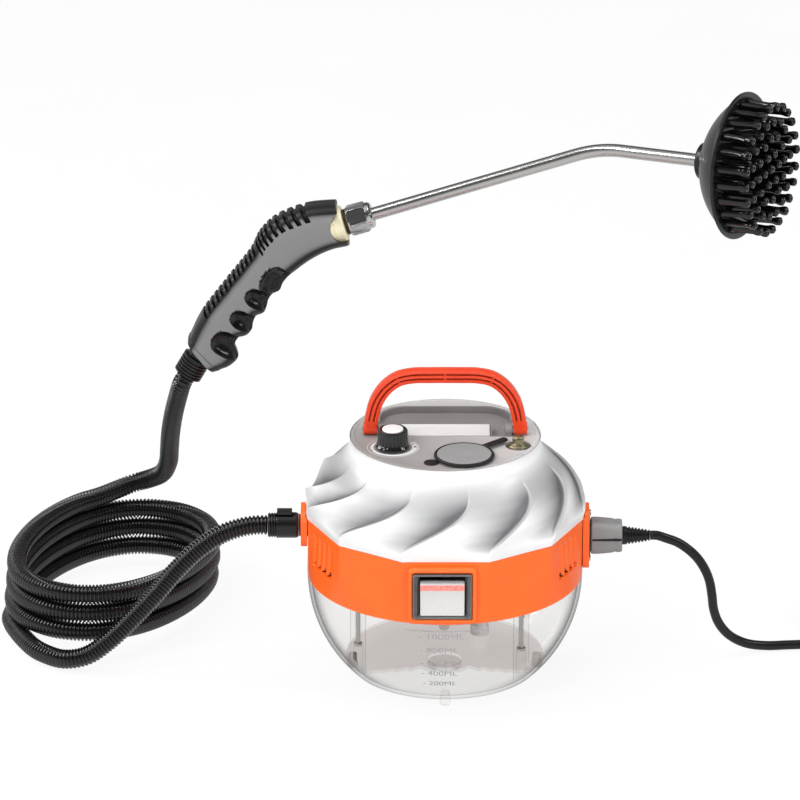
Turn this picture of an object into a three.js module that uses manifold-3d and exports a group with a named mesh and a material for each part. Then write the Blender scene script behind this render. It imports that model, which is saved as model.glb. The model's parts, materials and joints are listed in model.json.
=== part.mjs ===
// A canister steam cleaner: a round body with a clear water tank, a corrugated steam hose laid in a
// coil, a pistol-grip gun with a bent lance, and a round bristle brush.
// Millimetres, +Z up, the front (switch side) faces -Y. The body's axis is x = y = 0, the floor z = 0.
import * as THREE from "three";
import { mergeVertices } from "three/addons/utils/BufferGeometryUtils.js";
import Module from "manifold-3d";

const GAP = 0.3; // clearance between two pieces that touch

// ---- Driving dimensions of the body -------------------------------------------------------------
const TANK_RADIUS = 115; // the bowl is part of a sphere of this radius
const TANK_CENTRE_Z = 89; // centre of that sphere
const TANK_WALL = 2.8;
const TANK_FLOOR_Z = 4.6; // outer face of the flat floor, above the feet
const TANK_RIM_Z = 88.2;
const FOOT_RING = 77.5; // the feet stand on a circle of this radius
const POST_RING = 96; // and the screw posts on this one
const POST_RADIUS = 6.5;
const SCREW_HEAD_Z = 50;
const CHASSIS_Z = 90.8;
const CHASSIS_THICK = 4;
const BOSS_TOP_Z = 107;

const BAND_BOTTOM_Z = TANK_RIM_Z + GAP;
const BAND_TOP_Z = 142.3;
const BAND_BOTTOM_RADIUS = 115.2; // round below
const BAND_TOP_RADIUS = 116.2; // corners of the twelve-sided top edge
const BAND_WALL = 2.6;
const CORNERS_DEG = [18, 49, 80, 100, 131, 162]; // azimuths of the corners, each side of the front
const SIDE_FLAT = BAND_TOP_RADIUS * Math.cos(THREE.MathUtils.degToRad(10));

const DOME_WALL = 2.4;
const DOME_PROFILE = [
  // height, corner radius, share of the twelve-sided outline that is left
  [BAND_TOP_Z + GAP, 115.8, 1],
  [147, 117.8, 0.95],
  [152.5, 117.6, 0.8],
  [159, 115.4, 0.6],
  [165.5, 112, 0.4],
  [171.5, 108.2, 0.25],
  [178, 102.6, 0.12],
  [183.5, 96, 0.05],
  [189, 88.4, 0],
  [196, 82, 0],
  [203, 79.3, 0],
];

const PANEL_RADIUS = 79;
const PANEL_BOTTOM_Z = 203.3;
const PANEL_Z = 211; // top face
const TRAY_FLOOR_Z = 205.4;

const HANDLE_PIVOT_Z = 216.8;
const HANDLE_TOP_Z = 264.2; // centre line of the grip
const HANDLE_BAR = 11.2; // bar height, and the same across
const LUG = { inner: 49.6, outer: 55.4, half: 5.5 };

const SWITCH_X = -2.8;
const SWITCH_Z = 114.2;
const SWITCH_WIDTH = 48.8;
const SWITCH_HEIGHT = 39.6;
const SWITCH_FACE_Y = -117.6;
const ROCKER_AXIS_Y = -102.6;
const ROCKER_TILT = 10; // degrees either side of level

const KNOB = { x: -43.6, y: -28.5, radius: 12.4, skirt: 14.8, height: 16 };
const FILLER = { x: 15.4, y: -50.5, radius: 25, bore: 16 };
const TETHER = { x: -11.8, y: -62.2, radius: 6.2 };
const VALVE = { x: 60.4, y: -25.2, radius: 8.5 };

const HOSE_OUTLET_Z = 129.3; // hose socket on the left
const POWER_INLET_Z = 119.9; // mains socket on the right
const HOSE = 16.5; // hose diameter
const CORD = 8; // mains lead diameter

// ---- Driving dimensions of the gun, lance and brush ----------------------------------------------
const GUN_Y = 110; // the gun's mid plane
const OUTLET = new THREE.Vector3(-92.1, GUN_Y, 355.6); // where the brass collar sits
const OUTLET_DIR = new THREE.Vector3(Math.cos(0.301), 0, Math.sin(0.301));
const BEND = OUTLET.clone().addScaledVector(OUTLET_DIR, 231); // corner of the lance's bend
const END_DIR = new THREE.Vector3(0.895, -0.443, 0.044).normalize();
const LANCE_RADIUS = 5.5;
const LANCE_END = 92.5; // straight length after the bend's corner
const BRISTLE = 28;
const CUFF_BASE = new THREE.Vector3(-206.4, GUN_Y, 240);
const CUFF_DIR = new THREE.Vector3(Math.cos(1.047), 0, Math.sin(1.047));
const CUFF_LENGTH = 22;

// ---- Hose coil: an oval, the parallel of a small ellipse ------------------------------------------
const COIL = { x: -283.2, y: 119, long: 58, short: 24, offset: 50, turn: -0.432, turns: 4 };

const wasm = await Module();
wasm.setup();

// ---- Helpers --------------------------------------------------------------------------------------
const rad = THREE.MathUtils.degToRad;
const v2 = (x, y) => new THREE.Vector2(x, y);
const v3 = (x, y, z) => new THREE.Vector3(x, y, z);

function signedVolume(geometry) {
  const g = geometry.index ? geometry.toNonIndexed() : geometry;
  const p = g.getAttribute("position");
  const [a, b, c] = [v3(), v3(), v3()];
  let sum = 0;
  for (let i = 0; i < p.count; i += 3) {
    a.fromBufferAttribute(p, i);
    b.fromBufferAttribute(p, i + 1);
    c.fromBufferAttribute(p, i + 2);
    sum += a.dot(b.cross(c));
  }
  return sum;
}

// A closed geometry with shared vertices and its faces pointing out.
function closed(geometry) {
  const g = geometry.clone();
  g.deleteAttribute("normal");
  g.deleteAttribute("uv");
  const merged = mergeVertices(g, 1e-3);
  if (signedVolume(merged) < 0) {
    const index = merged.index.array;
    for (let i = 0; i < index.length; i += 3) {
      [index[i + 1], index[i + 2]] = [index[i + 2], index[i + 1]];
    }
  }
  return merged;
}

function toSolid(geometry) {
  const g = closed(geometry);
  return new wasm.Manifold(
    new wasm.Mesh({
      numProp: 3,
      vertProperties: new Float32Array(g.attributes.position.array),
      triVerts: new Uint32Array(g.index.array),
    }),
  );
}

function fromSolid(solid) {
  const mesh = solid.getMesh();
  return new THREE.BufferGeometry()
    .setAttribute("position", new THREE.BufferAttribute(mesh.vertProperties, 3))
    .setIndex(new THREE.BufferAttribute(mesh.triVerts, 1));
}

const join = (...parts) => fromSolid(parts.map(toSolid).reduce((a, b) => a.add(b)));
const cut = (from, ...tools) =>
  fromSolid(tools.map(toSolid).reduce((a, b) => a.subtract(b), toSolid(from)));
const common = (a, b) => fromSolid(toSolid(a).intersect(toSolid(b)));

// A solid of revolution about +Z from [radius, height] pairs.
function lathe(profile, segments = 32) {
  const g = new THREE.LatheGeometry(profile.map(([r, z]) => v2(r, z)), segments);
  return closed(g.rotateX(Math.PI / 2));
}

// A solid of revolution about the ray from `from` along `direction`.
function latheAlong(profile, from, direction, segments = 24) {
  const turn = new THREE.Quaternion().setFromUnitVectors(v3(0, 0, 1), direction);
  return lathe(profile, segments).applyQuaternion(turn).translate(from.x, from.y, from.z);
}

const rod = (radius, low, high) => [
  [0, low],
  [radius, low],
  [radius, high],
  [0, high],
];

const pipe = (outer, inner, low, high) => [
  [inner, low],
  [outer, low],
  [outer, high],
  [inner, high],
  [inner, low],
];

function box(x0, x1, y0, y1, z0, z1) {
  const g = new THREE.BoxGeometry(x1 - x0, y1 - y0, z1 - z0);
  return closed(g.translate((x0 + x1) / 2, (y0 + y1) / 2, (z0 + z1) / 2));
}

function roundedRect(width, height, corner) {
  const [w, h] = [width / 2, height / 2];
  const s = new THREE.Shape();
  s.moveTo(-w + corner, -h);
  s.lineTo(w - corner, -h);
  s.absarc(w - corner, -h + corner, corner, -Math.PI / 2, 0, false);
  s.absarc(w - corner, h - corner, corner, 0, Math.PI / 2, false);
  s.absarc(-w + corner, h - corner, corner, Math.PI / 2, Math.PI, false);
  s.absarc(-w + corner, -h + corner, corner, Math.PI, 1.5 * Math.PI, false);
  return s;
}

const prism = (shape, depth, curveSegments = 5) =>
  closed(new THREE.ExtrudeGeometry(shape, { depth, bevelEnabled: false, curveSegments }));

// A plate drawn in the XZ plane, from y0 back to y1.
const frontPlate = (shape, y0, y1, curveSegments) =>
  prism(shape, y1 - y0, curveSegments).rotateX(Math.PI / 2).translate(0, y1, 0);

// A plate drawn in the YZ plane (shape x is along Y), from x0 to x1.
const sidePlate = (shape, x0, x1, curveSegments) =>
  prism(shape, x1 - x0, curveSegments).rotateZ(Math.PI / 2).rotateY(Math.PI / 2).translate(x0, 0, 0);

function tube(curve, radius, steps, sides) {
  const section = new THREE.Shape();
  for (let i = 0; i < sides; i++) {
    const a = (2 * Math.PI * i) / sides;
    const [x, y] = [radius * Math.cos(a), radius * Math.sin(a)];
    if (i) section.lineTo(x, y);
    else section.moveTo(x, y);
  }
  return closed(
    new THREE.ExtrudeGeometry(section, { steps, bevelEnabled: false, extrudePath: curve }),
  );
}

const spline = (points) => new THREE.CatmullRomCurve3(points, false, "centripetal");

// Skin over rings of equal point counts. Capped at both ends, or closed round into a shell.
function loft(rings, shell = false) {
  const n = rings[0].length;
  const points = rings.flat();
  const index = [];
  const last = shell ? rings.length : rings.length - 1;
  for (let r = 0; r < last; r++) {
    const next = (r + 1) % rings.length;
    for (let i = 0; i < n; i++) {
      const j = (i + 1) % n;
      index.push(r * n + i, r * n + j, next * n + j);
      index.push(r * n + i, next * n + j, next * n + i);
    }
  }
  if (!shell) {
    for (const [ring, flip] of [[0, true], [rings.length - 1, false]]) {
      const centre = rings[ring].reduce((sum, p) => sum.add(p), v3()).divideScalar(n);
      points.push(centre);
      for (let i = 0; i < n; i++) {
        const [a, b] = [ring * n + i, ring * n + ((i + 1) % n)];
        index.push(...(flip ? [points.length - 1, b, a] : [points.length - 1, a, b]));
      }
    }
  }
  return closed(new THREE.BufferGeometry().setFromPoints(points).setIndex(index));
}

// ---- The body's twelve-sided outline --------------------------------------------------------------
// Corner azimuths from the front, all the way round.
const corners = [...CORNERS_DEG, ...CORNERS_DEG.map((a) => 360 - a).reverse()];

// Azimuths that hit each corner, with the facets divided evenly.
const azimuths = corners.flatMap((from, i) => {
  const to = corners[(i + 1) % corners.length] + (i + 1 === corners.length ? 360 : 0);
  return [0, 1, 2].map((k) => from + ((to - from) * k) / 3);
});

// Radius of the outline at an azimuth: `share` 1 is the polygon, 0 the circle through its corners.
function outlineRadius(azimuth, radius, share) {
  const a = ((azimuth % 360) + 360) % 360;
  const i = corners.findIndex((c) => c > a + 1e-6);
  const high = i < 0 ? corners[0] + 360 : corners[i];
  const low = i < 0 ? corners.at(-1) : i === 0 ? corners.at(-1) - 360 : corners[i - 1];
  const flat = Math.cos(rad((high - low) / 2)) / Math.cos(rad(a - (high + low) / 2));
  return radius * (1 + share * (flat - 1));
}

const outlineRing = (z, radius, share) =>
  azimuths.map((a) => {
    const r = outlineRadius(a, radius, share);
    return v3(r * Math.sin(rad(a)), -r * Math.cos(rad(a)), z);
  });

// ---- Clear tank --------------------------------------------------------------------------------------
const postAngles = [41, 131, 221, 311];

function bowlProfile(radius, floor, top, steps) {
  const low = Math.asin((floor - TANK_CENTRE_Z) / radius);
  const high = Math.asin((top - TANK_CENTRE_Z) / radius);
  const arc = Array.from({ length: steps + 1 }, (_, i) => {
    const a = low + ((high - low) * i) / steps;
    return [radius * Math.cos(a), TANK_CENTRE_Z + radius * Math.sin(a)];
  });
  return [[0, floor], ...arc, [0, top]];
}

function waterTank() {
  const outer = lathe(bowlProfile(TANK_RADIUS, TANK_FLOOR_Z, TANK_RIM_Z, 8), 40);
  const inner = TANK_RADIUS - TANK_WALL;
  const cavity = lathe(bowlProfile(inner, TANK_FLOOR_Z + TANK_WALL, TANK_RIM_Z + 0.1, 7), 40);
  const place = (g, ring, angle) => g.translate(ring * Math.cos(rad(angle)), ring * Math.sin(rad(angle)), 0);
  const posts = postAngles.map((a) => place(lathe(rod(POST_RADIUS, 15, TANK_RIM_Z), 14), POST_RING, a));
  const feet = [0, 90, 180, 270].map((a) => place(lathe(rod(4.5, 0, 12), 12), FOOT_RING, a));
  const bores = postAngles.flatMap((a) => [
    place(lathe(rod(2.3, 10, TANK_RIM_Z + 1), 10), POST_RING, a),
    place(lathe(rod(4.2, 10, SCREW_HEAD_Z), 12), POST_RING, a),
  ]);
  const centrePad = lathe(rod(14, 0, TANK_FLOOR_Z + 1), 20);
  const bowl = cut(join(outer, centrePad, ...feet), cavity);
  return cut(join(bowl, common(join(...posts), outer)), ...bores);
}

function tankScrew(angle) {
  const head = SCREW_HEAD_Z - GAP;
  const g = lathe(
    [[0, head - 2.4], [3.6, head - 2.4], [3.6, head], [1.9, head], [1.9, BOSS_TOP_Z - 6], [0, BOSS_TOP_Z - 6]],
    10,
  );
  return g.translate(POST_RING * Math.cos(rad(angle)), POST_RING * Math.sin(rad(angle)), 0);
}

// ---- Inside the body ----------------------------------------------------------------------------------
const BOILER = { x: -28, y: 22, radius: 34, low: 95, high: 132 };
const PUMP = { x: 48, y: 18, z: 116, radius: 16, half: 34 };
const SUCTION = { x: 30, y: 52 };

const chassisTop = CHASSIS_Z + CHASSIS_THICK;

function chassis() {
  const plate = lathe(rod(109.6, CHASSIS_Z, chassisTop), 40);
  const ring = (g, a) => g.translate(POST_RING * Math.cos(rad(a)), POST_RING * Math.sin(rad(a)), 0);
  const bosses = postAngles.map((a) => ring(lathe(rod(6, CHASSIS_Z, BOSS_TOP_Z), 12), a));
  const holes = postAngles.map((a) => ring(lathe(rod(2.2, CHASSIS_Z - 1, BOSS_TOP_Z - 4), 10), a));
  const filler = lathe(rod(FILLER.bore + 3, CHASSIS_Z - 1, chassisTop + 1), 20).translate(FILLER.x, FILLER.y, 0);
  const suction = lathe(rod(4.4, CHASSIS_Z - 1, chassisTop + 1), 12).translate(SUCTION.x, SUCTION.y, 0);
  const cradle = box(PUMP.x - 20, PUMP.x + 20, PUMP.y - 12, PUMP.y + 6, CHASSIS_Z, PUMP.z - 2);
  const seat = latheAlong(rod(PUMP.radius + GAP, -40, 40), v3(PUMP.x, PUMP.y, PUMP.z), v3(0, 1, 0), 20);
  return cut(join(plate, cradle, ...bosses), seat, ...holes, filler, suction);
}

const tankGasket = () => lathe(pipe(109.8, 103.5, TANK_RIM_Z + GAP, CHASSIS_Z - GAP), 36);

function boiler() {
  const { radius, low, high } = BOILER;
  const profile = [
    [0, low],
    [radius - 6, low],
    [radius - 6, low + 6],
    [radius, low + 6],
    [radius, high - 8],
    [radius - 8, high - 8],
    [radius - 8, high],
    [0, high],
  ];
  return lathe(profile, 28).translate(BOILER.x, BOILER.y, 0);
}

function pump() {
  const { radius, half } = PUMP;
  const profile = [
    [0, -half],
    [6, -half],
    [6, -half + 10],
    [radius, -half + 10],
    [radius, half - 14],
    [7, half - 14],
    [7, half],
    [0, half],
  ];
  return latheAlong(profile, v3(PUMP.x, PUMP.y, PUMP.z), v3(0, 1, 0), 20);
}

const suctionTube = () =>
  tube(
    spline([
      v3(SUCTION.x, SUCTION.y, 21),
      v3(SUCTION.x, SUCTION.y, 60),
      v3(SUCTION.x, SUCTION.y, 96),
      v3(SUCTION.x + 1, SUCTION.y + 6, 109),
      v3(PUMP.x - 8, PUMP.y + PUMP.half + 16, PUMP.z),
      v3(PUMP.x, PUMP.y + PUMP.half + 9, PUMP.z),
      v3(PUMP.x, PUMP.y + PUMP.half + GAP, PUMP.z),
    ]),
    3.2,
    16,
    8,
  );

const suctionFilter = () =>
  lathe([[0, 8], [8, 8], [8, 15], [4, 20.6], [0, 20.6]], 14).translate(SUCTION.x, SUCTION.y, 0);

const pumpOutletTube = () =>
  tube(
    spline([
      v3(PUMP.x, PUMP.y - PUMP.half - GAP, PUMP.z),
      v3(PUMP.x, PUMP.y - PUMP.half - 8, PUMP.z),
      v3(PUMP.x - 8, PUMP.y - PUMP.half - 14, PUMP.z + 8),
      v3(PUMP.x - 26, PUMP.y - PUMP.half - 6, PUMP.z + 22),
      v3(BOILER.x + 22, BOILER.y - 14, BOILER.high + 15),
      v3(BOILER.x + 14, BOILER.y, BOILER.high + 12),
      v3(BOILER.x + 13, BOILER.y, BOILER.high + GAP),
    ]),
    3,
    16,
    8,
  );

const thermostat = () =>
  lathe(
    [[0, 0], [8, 0], [8, 3], [5.5, 3], [5.5, 8], [0, 8]].map(([r, z]) => [r, z + BOILER.high + GAP]),
    16,
  ).translate(BOILER.x - 10, BOILER.y + 12, 0);

const thermalFuse = () =>
  latheAlong(rod(2.4, -9, 9), v3(BOILER.x - 12, BOILER.y - 13, BOILER.high + 2.9), v3(1, 0, 0), 10);

const STEAM_VALVE = { low: 172, high: 197 };

const steamValve = () =>
  join(
    lathe(rod(11, STEAM_VALVE.low, STEAM_VALVE.high), 18).translate(KNOB.x, KNOB.y, 0),
    box(KNOB.x - 16, KNOB.x + 16, KNOB.y - 5, KNOB.y + 5, STEAM_VALVE.low + 4, STEAM_VALVE.low + 14),
  );

const steamPipe = () =>
  tube(
    spline([
      v3(BOILER.x, BOILER.y, BOILER.high + GAP),
      v3(BOILER.x, BOILER.y, BOILER.high + 18),
      v3(BOILER.x + 2, BOILER.y - 20, 160),
      v3(KNOB.x + 8, KNOB.y + 4, 164),
      v3(KNOB.x, KNOB.y, 168),
      v3(KNOB.x, KNOB.y, STEAM_VALVE.low - GAP),
    ]),
    3,
    16,
    8,
  );

const outletPipe = () =>
  tube(
    spline([
      v3(KNOB.x - 16 - GAP, KNOB.y, STEAM_VALVE.low + 9),
      v3(KNOB.x - 25, KNOB.y, STEAM_VALVE.low + 9),
      v3(-80, -22, 168),
      v3(-86, -10, 148),
      v3(-87, -2, 132),
      v3(-94, 0, HOSE_OUTLET_Z),
      v3(-104.5 + GAP, 0, HOSE_OUTLET_Z),
    ]),
    3,
    16,
    8,
  );

// ---- Orange middle band ------------------------------------------------------------------------------
function middleBand() {
  const levels = [
    [BAND_BOTTOM_Z, BAND_BOTTOM_RADIUS, 0],
    [103, 115.6, 0.4],
    [123, 116, 0.85],
    [BAND_TOP_Z, BAND_TOP_RADIUS, 1],
  ];
  const outer = levels.map(([z, r, share]) => outlineRing(z, r, share));
  const inner = levels.map(([z, r, share]) => outlineRing(z, r - BAND_WALL, share)).reverse();
  const wall = loft([...outer, ...inner], true);
  const frame = roundedRect(55.6, 48, 4);
  const raised = frontPlate(frame, -116.2, -110.2).translate(SWITCH_X, 0, SWITCH_Z);
  const [halfWidth, halfHeight] = [SWITCH_WIDTH / 2 + GAP, SWITCH_HEIGHT / 2 + GAP];
  const seat = box(-halfWidth, halfWidth, -125, -114, -halfHeight, halfHeight);
  const opening = box(-21.6, 21.6, -125, -100, -19.2, 19.2);
  const hole = latheAlong(rod(9.8, -125, -105), v3(0, 0, HOSE_OUTLET_Z), v3(1, 0, 0), 20);
  return cut(
    join(wall, raised),
    seat.translate(SWITCH_X, 0, SWITCH_Z),
    opening.translate(SWITCH_X, 0, SWITCH_Z),
    hole,
    box(100, 125, -11.4, 11.4, POWER_INLET_Z - 15.2, POWER_INLET_Z + 15.2),
  );
}

// Plates around the two side sockets. Each fills the space up to the band's flat side.
const PLATE_INNER = SIDE_FLAT + 0.6;
const PLATE_OUTER = 120.4;
const DOME_CLEAR = 116.4; // the plates are thinner where they lie over the dome's edge

function hosePlate() {
  const plate = sidePlate(roundedRect(34, 31.2, 8), -PLATE_OUTER, -PLATE_INNER);
  return cut(
    plate.translate(0, 0, 130),
    box(-DOME_CLEAR, -100, -20, 20, 141.5, 150),
    latheAlong(rod(9.8, -130, -100), v3(0, 0, HOSE_OUTLET_Z), v3(1, 0, 0), 20),
  );
}

const PLATE_SCREWS_Z = [140.6, 99.6];

function inletPlate() {
  const plate = sidePlate(roundedRect(30, 51.4, 7), PLATE_INNER, PLATE_OUTER).translate(0, 0, 120.2);
  const holes = PLATE_SCREWS_Z.map((z) => latheAlong(rod(1.9, 100, 130), v3(0, 0, z), v3(1, 0, 0), 10));
  const overDome = box(100, DOME_CLEAR, -20, 20, 141.5, 150);
  return cut(plate, overDome, box(100, 130, -11.4, 11.4, POWER_INLET_Z - 15.2, POWER_INLET_Z + 15.2), ...holes);
}

const plateScrew = (z) =>
  latheAlong(
    [[0, PLATE_INNER + GAP], [1.5, PLATE_INNER + GAP], [1.5, PLATE_OUTER + GAP], [3, PLATE_OUTER + GAP], [2.2, PLATE_OUTER + 1.6], [0, PLATE_OUTER + 1.6]],
    v3(0, 0, z),
    v3(1, 0, 0),
    12,
  );

const hoseSocket = () =>
  latheAlong(
    [[3.4, -122], [9.4, -122], [9.4, -110.8], [11.5, -110.8], [11.5, -104.5], [3.4, -104.5], [3.4, -122]],
    v3(0, 0, HOSE_OUTLET_Z),
    v3(1, 0, 0),
    20,
  );

// Mains socket: a shroud with three blades standing in it.
const BLADES = [[0, 7.2], [-5.2, -3.2], [5.2, -3.2]]; // y, z of each blade

function powerInlet() {
  const z = POWER_INLET_Z;
  const body = box(98, 121.4, -11, 11, z - 14.8, z + 14.8);
  const flange = box(104, 110.6, -13, 13, z - 17, z + 17);
  const mouth = box(104.5, 123, -8.8, 8.8, z - 12.2, z + 12.2);
  const shroud = cut(join(body, flange), mouth);
  return join(shroud, ...BLADES.map(([y, dz]) => box(103, 117, y - 1, y + 1, z + dz - 2.2, z + dz + 2.2)));
}

// ---- Rocker switch -----------------------------------------------------------------------------------
function switchHousing() {
  const flange = frontPlate(roundedRect(SWITCH_WIDTH, SWITCH_HEIGHT, 1.5), SWITCH_FACE_Y, -114.3, 2);
  const body = box(-21, 21, -115, -84, -18.9, 18.9);
  const pocket = box(-18.9, 18.9, -120, -87, -18, 18);
  return cut(join(flange, body), pocket).translate(SWITCH_X, 0, SWITCH_Z);
}

// Side outline of the rocker about its axle, as y, z, while it is level.
const ROCKER_SIDE = [[-15.2, 15.3], [-15.2, -15.3], [-8, -14.6], [4, -8], [7, 0], [4, 8], [-8, 14.6]];

// It stands with its top edge out, the lower half pressed in.
const switchRocker = () =>
  sidePlate(new THREE.Shape(ROCKER_SIDE.map(([y, z]) => v2(y, z))), -18.4, 18.4)
    .rotateX(rad(ROCKER_TILT))
    .translate(SWITCH_X, ROCKER_AXIS_Y, SWITCH_Z);

// ---- Silver dome -------------------------------------------------------------------------------------
function domeCover() {
  const outer = DOME_PROFILE.map(([z, r, share]) => outlineRing(z, r, share));
  const inner = DOME_PROFILE.map(([z, r, share], i) => {
    const lower = i ? 0 : 0.1;
    return outlineRing(Math.min(z - (i > 3 ? DOME_WALL * 0.6 : lower), 200.6), r - DOME_WALL, share);
  });
  inner[0] = outlineRing(DOME_PROFILE[0][0], DOME_PROFILE[0][1] - DOME_WALL, 1);
  const lip = [outlineRing(203, 74, 0), outlineRing(200.6, 74, 0)];
  const shell = loft([...outer, ...lip, ...inner.reverse()], true);
  return shell;
}

// ---- Top panel and what stands on it ------------------------------------------------------------------
// Outline of the dark tray behind the label: wide behind, with two arms beside the label.
function trayOutline(grow) {
  const [w, front, rear, arm, armFront, corner] = [56 + grow, 21 - grow, 63 + grow, 37.5 - grow, -4.4 - grow, 24];
  const s = new THREE.Shape();
  s.moveTo(-w, armFront);
  s.lineTo(-arm, armFront);
  s.lineTo(-arm, front);
  s.lineTo(arm, front);
  s.lineTo(arm, armFront);
  s.lineTo(w, armFront);
  s.lineTo(w, rear - corner - 4);
  s.absarc(w - corner, rear - corner, corner, 0, Math.PI / 2, false);
  s.absarc(-w + corner, rear - corner, corner, Math.PI / 2, Math.PI, false);
  s.lineTo(-w, rear - corner - 4);
  return s;
}

const plateUp = (shape, low, high, curveSegments = 6) => prism(shape, high - low, curveSegments).translate(0, 0, low);
const drill = (x, y, r) => lathe(rod(r, 190, 225), 20).translate(x, y, 0);

function topPanel() {
  const plate = lathe(
    [[0, PANEL_BOTTOM_Z], [PANEL_RADIUS, PANEL_BOTTOM_Z], [PANEL_RADIUS, PANEL_Z - 1], [PANEL_RADIUS - 1, PANEL_Z], [0, PANEL_Z]],
    48,
  );
  return cut(
    plate,
    plateUp(trayOutline(GAP), 200, 220),
    drill(KNOB.x, KNOB.y, 4.3),
    drill(FILLER.x, FILLER.y, FILLER.bore + 2.4),
    drill(TETHER.x, TETHER.y, 2.6),
    drill(VALVE.x, VALVE.y, 5),
  );
}

function handleTray() {
  const tray = cut(
    plateUp(trayOutline(0), 203.7, PANEL_Z),
    plateUp(trayOutline(-1.6), TRAY_FLOOR_Z, 220),
  );
  const lug = (side) => {
    const [a, b] = [side * LUG.inner, side * LUG.outer].sort((p, q) => p - q);
    const stem = box(a, b, -3.8, LUG.half, TRAY_FLOOR_Z - 0.5, HANDLE_PIVOT_Z);
    const eye = latheAlong(rod(LUG.half, a, b), v3(0, 0, HANDLE_PIVOT_Z), v3(1, 0, 0), 16);
    return [stem, eye];
  };
  const bore = latheAlong(rod(2.1, -80, 80), v3(0, 0, HANDLE_PIVOT_Z), v3(1, 0, 0), 12);
  return cut(join(tray, ...lug(1), ...lug(-1)), bore);
}

const labelPlate = () =>
  plateUp(roundedRect(73, 24, 1.5), PANEL_Z + GAP, PANEL_Z + 1.1, 2).translate(0.4, 8.2, 0);

// Half of the carrying handle's centre line, from the pivot up to the middle of the grip.
const HANDLE_HALF = [[62.4, HANDLE_PIVOT_Z], [60.8, 228], [57.2, 241], [49.6, 253], [39, 261], [27, 263.8], [12, HANDLE_TOP_Z]];

function carryHandle() {
  const points = [...HANDLE_HALF, ...HANDLE_HALF.map(([x, z]) => [-x, z]).reverse()];
  const line = new THREE.SplineCurve(points.map(([x, z]) => v2(x, z)));
  const n = 34;
  const side = (sign) =>
    Array.from({ length: n + 1 }, (_, i) => {
      const p = line.getPointAt(i / n);
      const t = line.getTangentAt(i / n);
      return v2(p.x - (sign * t.y * HANDLE_BAR) / 2, p.y + (sign * t.x * HANDLE_BAR) / 2);
    });
  const arch = frontPlate(new THREE.Shape([...side(1), ...side(-1).reverse()]), -5.2, 5.2);
  const foot = (s) => {
    const x = [s * 56.6, s * 68.2].sort((a, b) => a - b);
    return latheAlong(rod(5.3, x[0], x[1]), v3(0, 0, HANDLE_PIVOT_Z), v3(1, 0, 0), 18);
  };
  const bore = latheAlong(rod(2.1, -80, 80), v3(0, 0, HANDLE_PIVOT_Z), v3(1, 0, 0), 12);
  return cut(join(arch, foot(1), foot(-1)), bore);
}

// Pins turn with the handle and run in the lugs.
const handlePin = (side) => {
  const x = [side * (LUG.inner - 1), side * 69.2].sort((a, b) => a - b);
  return latheAlong(rod(1.8, x[0], x[1]), v3(0, 0, HANDLE_PIVOT_Z), v3(1, 0, 0), 12);
};

function steamKnob() {
  const n = 24;
  const shape = new THREE.Shape(
    Array.from({ length: 2 * n }, (_, i) => {
      const r = KNOB.radius - (i % 2 ? 0 : 0.9);
      const a = (Math.PI * i) / n;
      return v2(r * Math.cos(a), r * Math.sin(a));
    }),
  );
  const base = PANEL_Z + 0.6;
  const skirt = lathe([[0, base], [KNOB.skirt, base], [KNOB.skirt, base + 1.6], [KNOB.radius, base + 4], [0, base + 4]], 32);
  const grip = plateUp(shape, base + 3, base + KNOB.height);
  const well = lathe(rod(9.2, base + KNOB.height - 1.6, base + KNOB.height + 1), 24);
  const stemHole = lathe(rod(3.4, base - 1, base + 9), 14);
  return cut(join(skirt, grip), well, stemHole).translate(KNOB.x, KNOB.y, 0);
}

const knobCap = () => {
  const low = PANEL_Z + 0.6 + KNOB.height - 1.6 + GAP;
  return lathe([[0, low], [8.8, low], [8.8, low + 1.6], [7.6, low + 2.1], [0, low + 2.3]], 24)
    .translate(KNOB.x, KNOB.y, 0);
};

const valveStem = () => lathe(rod(3, STEAM_VALVE.high + GAP, PANEL_Z + 9), 12).translate(KNOB.x, KNOB.y, 0);

function fillerNeck() {
  const { bore } = FILLER;
  return lathe(
    [[bore, 76], [bore + 2, 76], [bore + 2, PANEL_Z + GAP], [bore + 5, PANEL_Z + GAP], [bore + 5, PANEL_Z + 1], [bore, PANEL_Z + 1], [bore, 76]],
    28,
  ).translate(FILLER.x, FILLER.y, 0);
}

// The cap's finger tab, pointing at the safety valve's side of the panel.
function tabShape(grow) {
  const along = v2(0.727, 0.686);
  const side = v2(-along.y, along.x);
  const corner = (a, b) => along.clone().multiplyScalar(a).addScaledVector(side, b);
  const [near, far, half] = [20 - grow, 48 + grow, 2.9 + grow];
  return new THREE.Shape([corner(near, -half), corner(far, -half), corner(far, half), corner(near, half)]);
}

function fillerCap() {
  const low = PANEL_Z + 2.5;
  const disc = lathe([[0, low], [22.6, low], [22.6, low + 1.4], [0, low + 1.7]], 36);
  return join(disc, plateUp(tabShape(0), low, low + 1.6)).translate(FILLER.x, FILLER.y, 0);
}

// Black sealing rim around the grey disc and under its tab, with a plug that drops into the neck.
function capSeal() {
  const low = PANEL_Z + 1.5;
  const rim = lathe(
    [[0, low], [FILLER.radius, low], [FILLER.radius, low + 2], [22.9, low + 2.4], [22.9, low + 0.7], [0, low + 0.7]],
    36,
  );
  const plug = lathe(pipe(FILLER.bore - 0.9, FILLER.bore - 3, PANEL_Z - 6, low + 0.3), 28);
  const underTab = plateUp(tabShape(0.7), low, low + 0.7);
  const slot = plateUp(tabShape(GAP), low + 0.7, low + 5);
  return cut(join(rim, plug, underTab), slot).translate(FILLER.x, FILLER.y, 0);
}

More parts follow.
